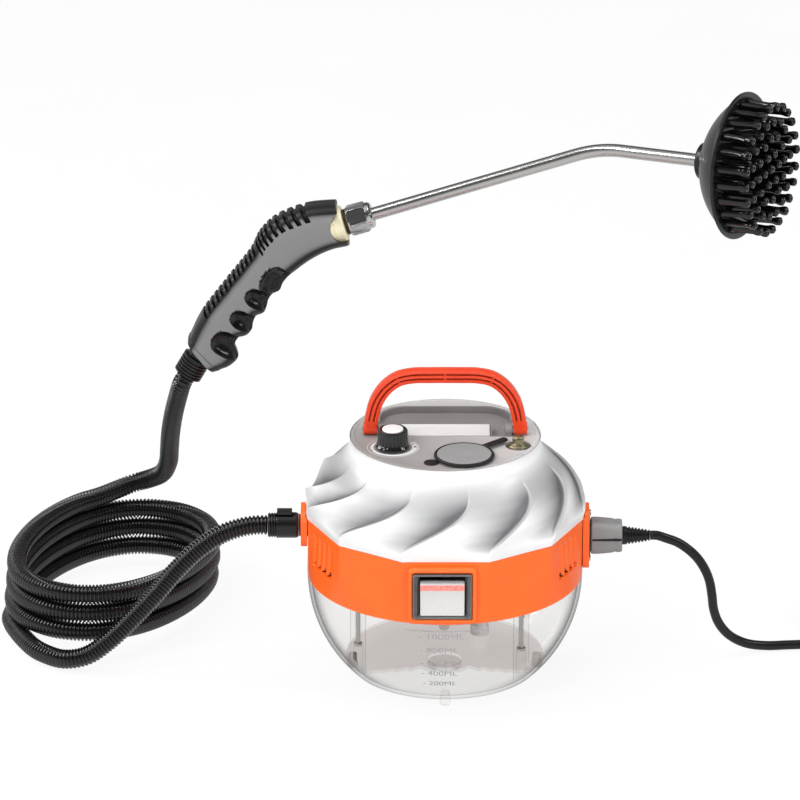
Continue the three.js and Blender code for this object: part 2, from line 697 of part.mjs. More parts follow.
const capTether = () =>
  lathe(
    [[0, 204], [2.3, 204], [2.3, 211.3], [TETHER.radius, 211.3], [TETHER.radius, 212.1], [4.2, 212.2], [3.6, 213], [0, 213.2]],
    20,
  ).translate(TETHER.x, TETHER.y, 0);

const safetyValve = () =>
  lathe(
    [[0, 196], [4.7, 196], [4.7, PANEL_Z + GAP], [VALVE.radius, PANEL_Z + GAP], [VALVE.radius, PANEL_Z + 1.2], [6.6, PANEL_Z + 2.2], [4.8, PANEL_Z + 2.2], [4.8, PANEL_Z + 8.4], [3.8, PANEL_Z + 9.4], [0, PANEL_Z + 9.4]],
    20,
  ).translate(VALVE.x, VALVE.y, 0);

// ---- Hose and its connector -----------------------------------------------------------------------------
const CONNECTOR_END = -148;
const LATCH = { x0: -140.5, x1: -127.5, half: 4.6 };

function hoseConnector() {
  const at = v3(0, 0, HOSE_OUTLET_Z);
  const barrel = latheAlong(
    [[0, CONNECTOR_END], [9.8, CONNECTOR_END], [10.4, -147], [10.4, -142], [10.8, -141], [10.8, -124], [10, -122.6], [10, -122.3], [0, -122.3]],
    at,
    v3(1, 0, 0),
    24,
  );
  const pocket = box(LATCH.x0 - GAP, LATCH.x1 + GAP, -LATCH.half - GAP, LATCH.half + GAP, HOSE_OUTLET_Z + 5, HOSE_OUTLET_Z + 20);
  return cut(barrel, pocket);
}

const connectorLatch = () =>
  box(LATCH.x0, LATCH.x1, -LATCH.half, LATCH.half, HOSE_OUTLET_Z + 8.4, HOSE_OUTLET_Z + 13.6);

// A point of the coil's centre line, or of a line parallel to it, at angle t.
function coilPoint(t, aside = 0) {
  const { long, short, offset, turn } = COIL;
  const n = v2(short * Math.cos(t), long * Math.sin(t)).normalize();
  const [a, b] = [long * Math.cos(t) + (offset + aside) * n.x, short * Math.sin(t) + (offset + aside) * n.y];
  // The long axis points to the front, turned towards the hose outlet's far side.
  const [c, s] = [Math.cos(turn - Math.PI / 2), Math.sin(turn - Math.PI / 2)];
  return v2(COIL.x + a * c - b * s, COIL.y + a * s + b * c);
}

function hoseCoil() {
  const ring = (aside) => Array.from({ length: 44 }, (_, i) => coilPoint((2 * Math.PI * i) / 44, aside));
  const shape = new THREE.Shape(ring(HOSE / 2));
  shape.holes.push(new THREE.Path(ring(-HOSE / 2)));
  return plateUp(shape, 0, COIL.turns * HOSE);
}

const hoseToCoil = () =>
  tube(
    spline([
      v3(CONNECTOR_END - GAP, 0, HOSE_OUTLET_Z),
      v3(-157, 0, HOSE_OUTLET_Z),
      v3(-170, -1, 127.6),
      v3(-188, -2, 121),
      v3(-208, -2, 106.4),
      v3(-226, -3, 88),
      v3(-244, -5, 66.5),
      v3(-263, -7, 46),
      v3(-282, -9, 27.5),
      v3(-301, -9.5, 14),
      v3(-319, -8, HOSE / 2 + 0.2),
    ]),
    HOSE / 2,
    16,
    10,
  );

const hoseToGun = () => {
  const end = CUFF_BASE.clone().addScaledVector(CUFF_DIR, -CUFF_LENGTH - GAP);
  return tube(
    spline([
      v3(-269, 229, 74.8),
      v3(-255, 226, 77),
      v3(-244, 216, 86),
      v3(-237.7, 200, 103),
      v3(-235.7, 182, 124),
      v3(-233.7, 160, 148),
      v3(-230.2, 138, 174),
      v3(-225.7, 121, 197),
      end.clone().addScaledVector(CUFF_DIR, -8),
      end,
    ]),
    HOSE / 2,
    16,
    10,
  );
};

// ---- Gun ----------------------------------------------------------------------------------------------
const hoseCuff = () =>
  latheAlong(
    [[0, -CUFF_LENGTH], [10.2, -CUFF_LENGTH], [12.2, -CUFF_LENGTH + 2], [12.2, -4], [9.4, -3], [9.4, 8], [0, 8]],
    CUFF_BASE,
    CUFF_DIR,
    20,
  );

// Back edge and front edge of the grip at each station, from the hose end to the nose: x, z, x, z.
const GRIP = [
  [-216.1, 252, -194.8, 225.8],
  [-212.7, 260.5, -181.2, 230.5],
  [-209.2, 268.5, -174.1, 238],
  [-205.2, 276, -175, 243.5],
  [-201.7, 282, -176.8, 249.5],
  [-197.7, 287.5, -173.2, 256],
  [-193.7, 293, -166.2, 258.6],
  [-189.7, 298.3, -162.2, 263.6],
  [-185.7, 303.5, -161.2, 269.6],
  [-181.7, 309, -158.2, 275.8],
  [-177.7, 314, -152, 278.8],
  [-173.7, 319.3, -149.7, 284],
  [-170, 324, -148.2, 290],
  [-166.2, 329, -144.8, 295],
  [-162.7, 334, -138.8, 298.4],
  [-160, 339.5, -136.2, 304.5],
  [-156.7, 347, -132.2, 310],
  [-151.2, 354.5, -124.2, 317],
  [-142.2, 362.5, -114.2, 324.8],
  [-129.2, 369, -103.2, 331.4],
  [-114.2, 373.6, -92.2, 336],
  [-99.2, 375.3, -81.2, 338.6],
  [-91.7, 375.6, -79.7, 339.5],
];
const GRIP_HALF_WIDTH = 17;

// The grip's rounded section at every station, `inset` inside its outer surface.
function gripBody(inset, from, to) {
  const sides = 16;
  return loft(
    GRIP.slice(from, to).map(([bx, bz, fx, fz]) => {
      const middle = v3((bx + fx) / 2, GUN_Y, (bz + fz) / 2);
      const across = v3((bx - fx) / 2, 0, (bz - fz) / 2);
      const half = across.length();
      across.multiplyScalar((half - inset) / half);
      return Array.from({ length: sides }, (_, i) => {
        const a = (2 * Math.PI * i) / sides;
        const round = (c) => Math.sign(c) * Math.abs(c) ** 0.72;
        return middle
          .clone()
          .addScaledVector(across, round(Math.cos(a)))
          .add(v3(0, (GRIP_HALF_WIDTH - inset) * round(Math.sin(a)), 0));
      });
    }),
  );
}

function gunShell(side) {
  const half = side < 0 ? box(-260, 0, GUN_Y - 40, GUN_Y - GAP / 2, 200, 400) : box(-260, 0, GUN_Y + GAP / 2, GUN_Y + 40, 200, 400);
  const hollow = cut(gripBody(0, 0, GRIP.length), gripBody(3, 1, GRIP.length - 1));
  const ends = cut(
    hollow,
    latheAlong(rod(9.4 + GAP, -30, 12), CUFF_BASE, CUFF_DIR, 20),
    latheAlong(rod(12.2 + GAP, -CUFF_LENGTH, -3 + GAP), CUFF_BASE, CUFF_DIR, 20),
    latheAlong(rod(11.4 + GAP, -12, 30), OUTLET, OUTLET_DIR, 20),
    latheAlong(rod(15.6 + GAP, -5.5, 30), OUTLET, OUTLET_DIR, 24),
    latheAlong(rod(15.4, -30, 30), OUTLET.clone().addScaledVector(OUTLET_DIR, 11.6), v3(0, 1, 0), 28),
  );
  return common(ends, half);
}

const gunSteamPipe = () =>
  tube(
    spline([
      CUFF_BASE.clone().addScaledVector(CUFF_DIR, 8 + GAP),
      v3(-191, GUN_Y, 267),
      v3(-175, GUN_Y, 290),
      v3(-159, GUN_Y, 313),
      v3(-144, GUN_Y, 333),
      v3(-123, GUN_Y, 345.5),
      OUTLET.clone().addScaledVector(OUTLET_DIR, -9 - GAP),
    ]),
    4,
    14,
    8,
  );

// Brass collar: a wide round body held in the nose, a groove and a thread.
const outletCollar = () =>
  latheAlong(
    [[0, -9], [11.4, -9], [11.4, -5.2], [15.6, -5], [15.6, 7], [14.4, 8.6], [11, 8.8], [11, 11], [9, 11.2], [9, 17], [0, 17]],
    OUTLET,
    OUTLET_DIR,
    24,
  );

// Steel union nut with six flats that clamps the lance to the collar.
function lanceNut() {
  const hex = latheAlong(rod(13.2, 11.6, 33), OUTLET, OUTLET_DIR, 6);
  const rounding = latheAlong([[0, 11.4], [11.8, 11.4], [13.2, 13.2], [13.2, 29], [8.6, 33.4], [0, 33.4]], OUTLET, OUTLET_DIR, 24);
  const bore = latheAlong([[0, 10], [9.4, 10], [9.4, 23.6], [5.9, 23.6], [5.9, 40], [0, 40]], OUTLET, OUTLET_DIR, 24);
  return cut(common(hex, rounding), bore);
}

function lance() {
  const reach = 21;
  const [a, b] = [BEND.clone().addScaledVector(OUTLET_DIR, -reach), BEND.clone().addScaledVector(END_DIR, reach)];
  const bend = new THREE.QuadraticBezierCurve3(a, BEND, b);
  const side = OUTLET_DIR.clone().cross(END_DIR).normalize();
  const ring = (centre, tangent) => {
    const up = side.clone().cross(tangent);
    return Array.from({ length: 14 }, (_, i) => {
      const t = (2 * Math.PI * i) / 14;
      const at = centre.clone().addScaledVector(side, LANCE_RADIUS * Math.cos(t));
      return at.addScaledVector(up, LANCE_RADIUS * Math.sin(t));
    });
  };
  const steps = Array.from({ length: 9 }, (_, i) => ring(bend.getPoint(i / 8), bend.getTangent(i / 8)));
  const start = ring(OUTLET.clone().addScaledVector(OUTLET_DIR, 17.4), OUTLET_DIR);
  const end = ring(BEND.clone().addScaledVector(END_DIR, LANCE_END + 6), END_DIR);
  const collar = latheAlong(rod(8.4, 17.4, 23.2), OUTLET, OUTLET_DIR, 20);
  return join(loft([start, ...steps, end]), collar);
}

// ---- Brush --------------------------------------------------------------------------------------------
const HUB = BEND.clone().addScaledVector(END_DIR, LANCE_END);
const CUP = { depth: 33, start: 5.6, radius: 71 };
const FACE = CUP.start + CUP.depth;

function capProfile(radius, centre, from, to, steps) {
  return Array.from({ length: steps + 1 }, (_, i) => {
    const t = from + ((to - from) * i) / steps;
    return [Math.sqrt(radius ** 2 - (centre - t) ** 2), t];
  });
}

function brushCup() {
  const centre = CUP.start + CUP.radius;
  const outer = capProfile(CUP.radius, centre, CUP.start + 2, FACE, 6);
  const inner = capProfile(CUP.radius - 3, centre, CUP.start + 5, FACE, 4).reverse();
  const profile = [[5.8, 0], [13.4, 0], [15.2, 1.6], [16, CUP.start + 1.9], ...outer, ...inner, [5.8, CUP.start + 5], [5.8, 0]];
  return latheAlong(profile, HUB, END_DIR, 32);
}

// Bristle positions: concentric rings on the pad.
const BRISTLE_RINGS = [[0, 1], [13, 6], [25.5, 12], [38, 18], [49.8, 24]];

function bristlePad() {
  const pad = lathe([[0, FACE - 6.2], [50, FACE - 6.2], [54, FACE - 1.4], [0, FACE - 1.4]], 32);
  const bristles = BRISTLE_RINGS.flatMap(([r, count]) =>
    Array.from({ length: count }, (_, i) => {
      const a = (2 * Math.PI * i) / count;
      return lathe(rod(3.8, FACE - 3, FACE + BRISTLE), 4).translate(r * Math.cos(a), r * Math.sin(a), 0);
    }),
  );
  const turn = new THREE.Quaternion().setFromUnitVectors(v3(0, 0, 1), END_DIR);
  return join(pad, ...bristles).applyQuaternion(turn).translate(HUB.x, HUB.y, HUB.z);
}

// ---- Mains lead ---------------------------------------------------------------------------------------
const PLUG_NOSE = { x0: 105.2, x1: 121 };
const LEAD_START = 171.5;

function powerConnector() {
  const z = POWER_INLET_Z;
  const nose = box(PLUG_NOSE.x0, 122.5, -8.4, 8.4, z - 11.8, z + 11.8);
  const grip = sidePlate(roundedRect(21, 28, 4), 122, 141.2).translate(0, 0, z);
  const collar = sidePlate(roundedRect(20, 26, 5), 140.8, 148).translate(0, 0, z);
  const slots = BLADES.map(([y, dz]) => box(104, 119, y - 1.5, y + 1.5, z + dz - 2.8, z + dz + 2.8));
  return cut(join(nose, grip, collar), ...slots);
}

const strainRelief = () =>
  latheAlong(
    [[0, 148 + GAP], [7.8, 148 + GAP], [7.2, 155], [6, LEAD_START - 1], [4.8, LEAD_START - GAP], [0, LEAD_START - GAP]],
    v3(0, 0, POWER_INLET_Z),
    v3(1, 0, 0),
    16,
  );

// The lead falls to the floor beside the body and runs out to the coil of spare length on the right.
const CORD_COIL = { x: 360, y: 91.3, inner: 34, outer: 50, height: 3 * CORD };
const CORD_FLOOR_Z = CORD / 2 + 0.1;

const powerCord = () =>
  tube(
    spline([
      v3(LEAD_START, 0, POWER_INLET_Z),
      v3(177, 0, POWER_INLET_Z),
      v3(184, 0, 117.6),
      v3(194.7, 0.5, 113.2),
      v3(204, 1, 106.4),
      v3(211.8, 2, 98),
      v3(218, 3, 87.6),
      v3(222, 5, 76.5),
      v3(224.5, 8, 62),
      v3(226.3, 12, 47.5),
      v3(231, 17, 32.5),
      v3(240.5, 23, 18.5),
      v3(255, 28.5, 8.6),
      v3(272, 32.5, 4.6),
      v3(290, 35, CORD_FLOOR_Z),
      v3(308, 36.4, CORD_FLOOR_Z),
      v3(326, 37, CORD_FLOOR_Z),
      v3(343, 37, CORD_FLOOR_Z),
      v3(CORD_COIL.x, 37, CORD_FLOOR_Z),
    ]),
    CORD / 2,
    28,
    8,
  );

const cordCoil = () =>
  lathe(pipe(CORD_COIL.outer, CORD_COIL.inner, 0, CORD_COIL.height), 36).translate(CORD_COIL.x, CORD_COIL.y, 0);

// Plug with two round pins, lying on its side beside the coil.
function mainsPlug() {
  const radius = 17.5;
  const at = v3(0, 0, radius);
  const body = latheAlong(
    [[0, -22], [5, -22], [6.5, -4], [12, 0], [radius, 8], [radius, 28], [0, 28]],
    at,
    v3(0, 1, 0),
    24,
  );
  const pins = [-9.5, 9.5].map((x) => latheAlong(rod(2.4, 26, 47), v3(x, 0, radius), v3(0, 1, 0), 10));
  return join(body, ...pins);
}

// ---- Materials ----------------------------------------------------------------------------------------
function material(color, roughness, metalness = 0, opacity = 1) {
  return new THREE.MeshStandardMaterial({ color, roughness, metalness, opacity, transparent: opacity < 1 });
}

const look = {
  clear: material(0xeef2f4, 0.05, 0, 0.35),
  orange: material(0xf4671f, 0.35),
  handle: material(0xe8451a, 0.35),
  silver: material(0xe2e3e5, 0.2, 0.3),
  panel: material(0xd9d6d3, 0.55),
  dark: material(0x6e6664, 0.6),
  label: material(0xf4f3f2, 0.5),
  black: material(0x111111, 0.35),
  blackMatte: material(0x1c1c1d, 0.6),
  grey: material(0xa9a9a9, 0.5),
  white: material(0xf6f4f2, 0.25),
  steel: material(0xc4c6c8, 0.2, 1),
  brass: material(0xd9bf72, 0.25, 1),
  aluminium: material(0xa8aaac, 0.4, 1),
  rubber: material(0x18181a, 0.8),
  tubing: material(0xdde2e4, 0.3),
  connector: material(0x9a9a9a, 0.5),
};

// ---- Assembly -----------------------------------------------------------------------------------------
const root = new THREE.Group();

function add(name, geometry, appearance) {
  const mesh = new THREE.Mesh(geometry, appearance);
  mesh.name = name;
  root.add(mesh);
}

add("water_tank", waterTank(), look.clear);
postAngles.forEach((a, i) => add(`tank_screw_${i + 1}`, tankScrew(a), look.steel));
add("tank_gasket", tankGasket(), look.rubber);
add("chassis", chassis(), look.blackMatte);
add("boiler", boiler(), look.aluminium);
add("thermostat", thermostat(), look.steel);
add("thermal_fuse", thermalFuse(), look.white);
add("pump", pump(), look.blackMatte);
add("suction_tube", suctionTube(), look.tubing);
add("suction_filter", suctionFilter(), look.white);
add("pump_outlet_tube", pumpOutletTube(), look.tubing);
add("steam_valve", steamValve(), look.brass);
add("steam_pipe", steamPipe(), look.tubing);
add("outlet_pipe", outletPipe(), look.tubing);

add("middle_band", middleBand(), look.orange);
add("hose_plate", hosePlate(), look.orange);
add("inlet_plate", inletPlate(), look.orange);
PLATE_SCREWS_Z.forEach((z, i) => add(`plate_screw_${i + 1}`, plateScrew(z), look.steel));
add("hose_socket", hoseSocket(), look.blackMatte);
add("power_inlet", powerInlet(), look.blackMatte);
add("switch_housing", switchHousing(), look.blackMatte);
add("switch_rocker", switchRocker(), look.white);
add("dome_cover", domeCover(), look.silver);
add("top_panel", topPanel(), look.panel);
add("handle_tray", handleTray(), look.dark);
add("label_plate", labelPlate(), look.label);
add("carry_handle", carryHandle(), look.handle);
add("handle_pin_left", handlePin(-1), look.steel);
add("handle_pin_right", handlePin(1), look.steel);
add("steam_knob", steamKnob(), look.black);
add("knob_cap", knobCap(), look.steel);
add("valve_stem", valveStem(), look.steel);
add("filler_neck", fillerNeck(), look.white);
add("filler_cap", fillerCap(), look.grey);
add("cap_seal", capSeal(), look.rubber);
add("cap_tether", capTether(), look.rubber);
add("safety_valve", safetyValve(), look.brass);

add("hose_connector", hoseConnector(), look.black);
add("connector_latch", connectorLatch(), look.black);
add("hose_to_coil", hoseToCoil(), look.black);
add("hose_coil", hoseCoil(), look.black);
add("hose_to_gun", hoseToGun(), look.black);

add("hose_cuff", hoseCuff(), look.blackMatte);
add("gun_shell_front", gunShell(-1), look.blackMatte);
add("gun_shell_back", gunShell(1), look.blackMatte);
add("gun_steam_pipe", gunSteamPipe(), look.tubing);
add("outlet_collar", outletCollar(), look.brass);
add("lance_nut", lanceNut(), look.steel);
add("lance", lance(), look.steel);
add("brush_cup", brushCup(), look.blackMatte);
add("bristle_pad", bristlePad(), look.rubber);

add("power_connector", powerConnector(), look.connector);
add("strain_relief", strainRelief(), look.black);
add("power_cord", powerCord(), look.black);
add("cord_coil", cordCoil(), look.black);
add("mains_plug", mainsPlug().rotateZ(Math.PI / 6).translate(371.8, 162.8, 0), look.black);

export default root;
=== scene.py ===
"""Looks for the canister steam cleaner: camera, light, cords, then the body, the gun and the brush."""

import json
import math

import bmesh
import bpy
import numpy as np
from mathutils import Matrix, Vector

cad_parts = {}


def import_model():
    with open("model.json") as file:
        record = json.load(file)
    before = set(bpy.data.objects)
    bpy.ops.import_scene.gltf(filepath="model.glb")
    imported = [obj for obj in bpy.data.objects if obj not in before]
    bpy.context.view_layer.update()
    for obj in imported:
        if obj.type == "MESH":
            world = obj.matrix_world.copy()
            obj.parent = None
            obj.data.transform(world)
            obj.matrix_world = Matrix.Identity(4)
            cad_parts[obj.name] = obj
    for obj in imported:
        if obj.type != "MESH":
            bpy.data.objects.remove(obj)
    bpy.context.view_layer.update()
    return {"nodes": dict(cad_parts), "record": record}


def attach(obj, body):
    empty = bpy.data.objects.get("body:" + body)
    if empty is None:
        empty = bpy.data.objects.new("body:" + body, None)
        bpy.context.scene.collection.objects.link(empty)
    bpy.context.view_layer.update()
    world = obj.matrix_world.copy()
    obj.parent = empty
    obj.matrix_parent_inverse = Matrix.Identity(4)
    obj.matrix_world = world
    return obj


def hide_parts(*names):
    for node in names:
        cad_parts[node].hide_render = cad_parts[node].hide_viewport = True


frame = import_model()
nodes = frame["nodes"]
MM = 0.001
PI = math.pi
rad = math.radians
scene = bpy.context.scene


# ---- Geometry helpers ------------------------------------------------------------------------------
def mm(*xyz):
    return Vector(xyz) * MM


def new_object(name, verts, faces, material, body, smooth_deg=None, replaces=(), slot=None):
    """A mesh from points in millimetres, which rides on a CAD body. smooth_deg None leaves it all smooth."""
    mesh = bpy.data.meshes.new(name)
    mesh.from_pydata([tuple(c * MM for c in v) for v in verts], [], faces)
    mesh.validate()
    b = bmesh.new()
    b.from_mesh(mesh)
    bmesh.ops.recalc_face_normals(b, faces=b.faces)
    b.to_mesh(mesh)
    b.free()
    o = bpy.data.objects.new(name, mesh)
    scene.collection.objects.link(o)
    materials = material if isinstance(material, (list, tuple)) else [material]
    for m in materials:
        mesh.materials.append(m)
    shade(o, smooth_deg)
    if replaces:
        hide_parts(*replaces)
    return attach(o, body)


def shade(o, smooth_deg=None):
    for p in o.data.polygons:
        p.use_smooth = True
    if smooth_deg is not None:
        o.data.set_sharp_from_angle(angle=rad(smooth_deg))


def bevel(o, width, segments=2, angle=30):
    m = o.modifiers.new("edges", "BEVEL")
    m.width, m.segments, m.limit_method, m.angle_limit = width * MM, segments, "ANGLE", rad(angle)
    return o


def axes_of(direction, up=Vector((0, 0, 1))):
    """Two unit vectors square to a direction, the second as near to up as can be."""
    d = Vector(direction).normalized()
    if abs(d.dot(up)) > 0.999:
        up = Vector((0, 1, 0))
    side = d.cross(up).normalized()
    return side, side.cross(d).normalized()


def bridge(rings, n, closed=True, ends=True, loop=False):
    """Faces between rings of n points each."""
    faces = []
    last = rings if loop else rings - 1
    for r in range(last):
        q = (r + 1) % rings
        for i in range(n if closed else n - 1):
            j = (i + 1) % n
            faces.append((r * n + i, r * n + j, q * n + j, q * n + i))
    if ends and not loop:
        faces.append(tuple(range(n))[::-1])
        faces.append(tuple((rings - 1) * n + i for i in range(n)))
    return faces


def turned(profile, at=(0, 0, 0), along=(0, 0, 1), n=64):
    """Points and faces of a profile of (radius, distance) pairs turned about a ray. A closed profile makes a ring."""
    at, along = Vector(at), Vector(along).normalized()
    side, up = axes_of(along)
    shut = profile[0] == profile[-1]
    rows = profile[:-1] if shut else profile
    verts = []
    for r, t in rows:
        r = max(r, 1e-3)
        for i in range(n):
            a = 2 * PI * i / n
            verts.append(at + along * t + side * (r * math.cos(a)) + up * (r * math.sin(a)))
    return verts, bridge(len(rows), n, loop=shut)


def rounded(profile, radius=0.6, steps=3):
    """The same profile with each inner corner rounded."""
    out = [profile[0]]
    for i in range(1, len(profile) - 1):
        p, a, b = (Vector(profile[k]) for k in (i, i - 1, i + 1))
        la, lb = (a - p).length, (b - p).length
        cut = min(radius, 0.45 * la, 0.45 * lb)
        if la < 1e-6 or lb < 1e-6 or cut < 0.02:
            out.append(tuple(p))
            continue
        s, e = p + (a - p) * (cut / la), p + (b - p) * (cut / lb)
        for k in range(steps + 1):
            t = k / steps
            out.append(tuple((1 - t) ** 2 * s + 2 * t * (1 - t) * p + t * t * e))
    out.append(profile[-1])
    return out


def merged(*parts):
    """Several (points, faces) as one."""
    verts, faces = [], []
    for v, f in parts:
        k = len(verts)
        verts += list(v)
        faces += [tuple(i + k for i in face) for face in f]
    return verts, faces


def block(x0, x1, y0, y1, z0, z1):
    v = [(x, y, z) for z in (z0, z1) for x, y in ((x0, y0), (x1, y0), (x1, y1), (x0, y1))]
    return v, [(3, 2, 1, 0), (4, 5, 6, 7), (0, 1, 5, 4), (1, 2, 6, 5), (2, 3, 7, 6), (3, 0, 4, 7)]


def cutter(verts, faces):
    """A loose solid to cut others with."""
    mesh = bpy.data.meshes.new("cutter")
    mesh.from_pydata([tuple(c * MM for c in v) for v in verts], [], faces)
    b = bmesh.new()
    b.from_mesh(mesh)
    bmesh.ops.recalc_face_normals(b, faces=b.faces)
    b.to_mesh(mesh)
    b.free()
    o = bpy.data.objects.new("cutter", mesh)
    scene.collection.objects.link(o)
    return o


def carve(o, cutters):
    for c in cutters:
        m = o.modifiers.new("cut", "BOOLEAN")
        m.operation, m.solver, m.object = "DIFFERENCE", "EXACT", c
    dg = bpy.context.evaluated_depsgraph_get()
    mesh = bpy.data.meshes.new_from_object(o.evaluated_get(dg))
    o.modifiers.clear()
    old, o.data = o.data, mesh
    bpy.data.meshes.remove(old)


def catmull(points, per=24):
    """The centripetal Catmull-Rom curve through points, as the CAD routes are drawn."""
    p = [Vector(q) for q in points]
    p = [2 * p[0] - p[1], *p, 2 * p[-1] - p[-2]]
    out = []
    for i in range(1, len(p) - 2):
        a, b, c, d = p[i - 1 : i + 3]
        t0 = 0.0
        t1 = t0 + math.sqrt((b - a).length)
        t2 = t1 + math.sqrt((c - b).length)
        t3 = t2 + math.sqrt((d - c).length)
        for k in range(per):
            t = t1 + (t2 - t1) * k / per
            e = a * ((t1 - t) / (t1 - t0)) + b * ((t - t0) / (t1 - t0))
            f = b * ((t2 - t) / (t2 - t1)) + c * ((t - t1) / (t2 - t1))
            g = c * ((t3 - t) / (t3 - t2)) + d * ((t - t2) / (t3 - t2))
            h = e * ((t2 - t) / (t2 - t0)) + f * ((t - t0) / (t2 - t0))
            m = f * ((t3 - t) / (t3 - t1)) + g * ((t - t1) / (t3 - t1))
            out.append(h * ((t2 - t) / (t2 - t1)) + m * ((t - t1) / (t2 - t1)))
    out.append(p[-2].copy())
    return out


def along_line(points):
    """Distance along a line of points, as an array."""
    p = np.array([tuple(q) for q in points])
    return np.concatenate([[0], np.cumsum(np.linalg.norm(np.diff(p, axis=0), axis=1))]), p


def sweep(points, stations, sides, squash_at=None):
    """A tube along a line. stations are (distance, radius) pairs in order."""
    s, p = along_line(points)
    d = np.array([a for a, _ in stations])
    r = np.array([b for _, b in stations])
    centre = np.stack([np.interp(d, s, p[:, k]) for k in range(3)], 1)
    ahead = np.stack([np.interp(np.minimum(d + 1.5, s[-1]), s, p[:, k]) for k in range(3)], 1)
    behind = np.stack([np.interp(np.maximum(d - 1.5, 0), s, p[:, k]) for k in range(3)], 1)
    t = ahead - behind
    t /= np.linalg.norm(t, axis=1)[:, None]
    verts = []
    side = np.array(axes_of(t[0])[0])
    for i in range(len(d)):
        side = side - t[i] * side.dot(t[i])
        side /= np.linalg.norm(side)
        up = np.cross(t[i], side)
        for k in range(sides):
            a = 2 * PI * k / sides
            verts.append(tuple(centre[i] + r[i] * (side * math.cos(a) + up * math.sin(a))))
    return verts, bridge(len(d), sides)


# ---- Materials ---------------------------------------------------------------------------------------
class Shader:
    """A material made of nodes, with short ways to add the ones used here."""

    def __init__(self, name):
        self.material = bpy.data.materials.new(name)
        self.material.use_nodes = True
        self.tree = self.material.node_tree
        self.tree.nodes.clear()
        self.out = self.tree.nodes.new("ShaderNodeOutputMaterial")
        self.place = self.tree.nodes.new("ShaderNodeTexCoord").outputs["Object"]

    def add(self, kind, **values):
        n = self.tree.nodes.new(kind)
        for key, value in values.items():
            if key in n.inputs:
                self.put(value, n.inputs[key])
            else:
                setattr(n, key, value)
        return n

    def put(self, value, socket):
        if isinstance(value, bpy.types.NodeSocket):
            self.tree.links.new(value, socket)
        elif isinstance(value, (tuple, list)) and len(value) == 3 and socket.type == "RGBA":
            socket.default_value = (*value, 1)
        else:
            socket.default_value = value

    def noise(self, scale, detail=3, roughness=0.55, stretch=None):
        place = self.place
        if stretch:
            m = self.add("ShaderNodeMapping", Vector=place)
            m.inputs["Scale"].default_value = stretch
            place = m.outputs[0]
        n = self.add("ShaderNodeTexNoise", Vector=place, Scale=scale, Detail=detail, Roughness=roughness)
        return n.outputs["Fac"]

    def range(self, value, low, high, from_low=0.3, from_high=0.7):
        n = self.add("ShaderNodeMapRange")
        self.put(value, n.inputs[0])
        for k, v in zip((1, 2, 3, 4), (from_low, from_high, low, high), strict=True):
            self.put(v, n.inputs[k])
        return n.outputs[0]

    def mix(self, factor, a, b, blend="MIX"):
        n = self.add("ShaderNodeMix", data_type="RGBA", blend_type=blend)
        self.put(factor, n.inputs[0])
        self.put(a if isinstance(a, bpy.types.NodeSocket) else (*a, 1), n.inputs[6])
        self.put(b if isinstance(b, bpy.types.NodeSocket) else (*b, 1), n.inputs[7])
        return n.outputs[2]

    def math(self, operation, a, b=0.0, clamp=False):
        n = self.add("ShaderNodeMath", operation=operation, use_clamp=clamp)
        self.put(a, n.inputs[0])
        self.put(b, n.inputs[1])
        return n.outputs[0]

    def bump(self, height, distance, strength=1.0, normal=None):
        n = self.add("ShaderNodeBump", Height=height, Distance=distance, Strength=strength)
        if normal is not None:
            self.put(normal, n.inputs["Normal"])
        return n.outputs[0]

    def end(self, shader):
        self.tree.links.new(shader, self.out.inputs["Surface"])
        return self.material


def surface(
    name,
    colour,
    rough,
    metal=0.0,
    grain=1400,
    bump=0.00002,
    vary=0.06,
    wear=0.15,
    coat=0.0,
    stretch=None,
    spread=0.06,
    wear_colour=None,
    extra=None,
    polish=None,
):
    """A moulded, cast or drawn surface: cloudy colour, fine grain in gloss and relief, paler worn edges."""
    s = Shader(name)
    cloud = s.noise(26, 4)
    fine = s.noise(grain, 2, 0.6, stretch)
    dark = tuple(c * (1 - vary) for c in colour)
    light = tuple(min(1, c * (1 + vary)) for c in colour)
    base = s.mix(s.range(cloud, 0, 1), dark, light)
    edge = s.add("ShaderNodeNewGeometry").outputs["Pointiness"]
    worn = wear_colour or tuple(min(1, c * 1.35 + 0.03) for c in colour)
    base = s.mix(s.range(edge, 0, wear, 0.52, 0.6), base, worn)
    if extra:
        base = extra(s, base)
    roughness = s.math("ADD", s.range(fine, rough - spread, rough + spread), s.range(s.noise(70, 3), -0.02, 0.03))
    if polish:
        shiny = s.add("ShaderNodeAttribute", attribute_name=polish).outputs["Fac"]
        roughness = s.math("SUBTRACT", roughness, s.math("MULTIPLY", shiny, 0.2))
    p = s.add("ShaderNodeBsdfPrincipled")
    s.put(base, p.inputs["Base Color"])
    s.put(roughness, p.inputs["Roughness"])
    s.put(metal, p.inputs["Metallic"])
    s.put(coat, p.inputs["Coat Weight"])
    s.put(0.08, p.inputs["Coat Roughness"])
    s.put(s.bump(fine, bump), p.inputs["Normal"])
    return s.end(p.outputs[0])


def tilt(s, axis):
    """The piece's own surface normal along an axis."""
    split = s.add("ShaderNodeSeparateXYZ", Vector=s.add("ShaderNodeTexCoord").outputs["Normal"])
    return split.outputs[axis]


def silver_painted_shade(s, base):
    """Silver paint with painted shade: pale on steep faces, darker as a face leans back and towards the foot of each
    blade.
    """
    lean = s.range(tilt(s, "Z"), 0, 0.66, 0.22, 0.84)
    # painted shade: darker towards the foot of each blade, read from a per-point attribute
    foot = s.add("ShaderNodeAttribute", attribute_name="blade_painted_shade").outputs["Fac"]
    return s.mix(s.math("ADD", lean, s.math("MULTIPLY", foot, 0.62), clamp=True), base, (0.12, 0.12, 0.125))


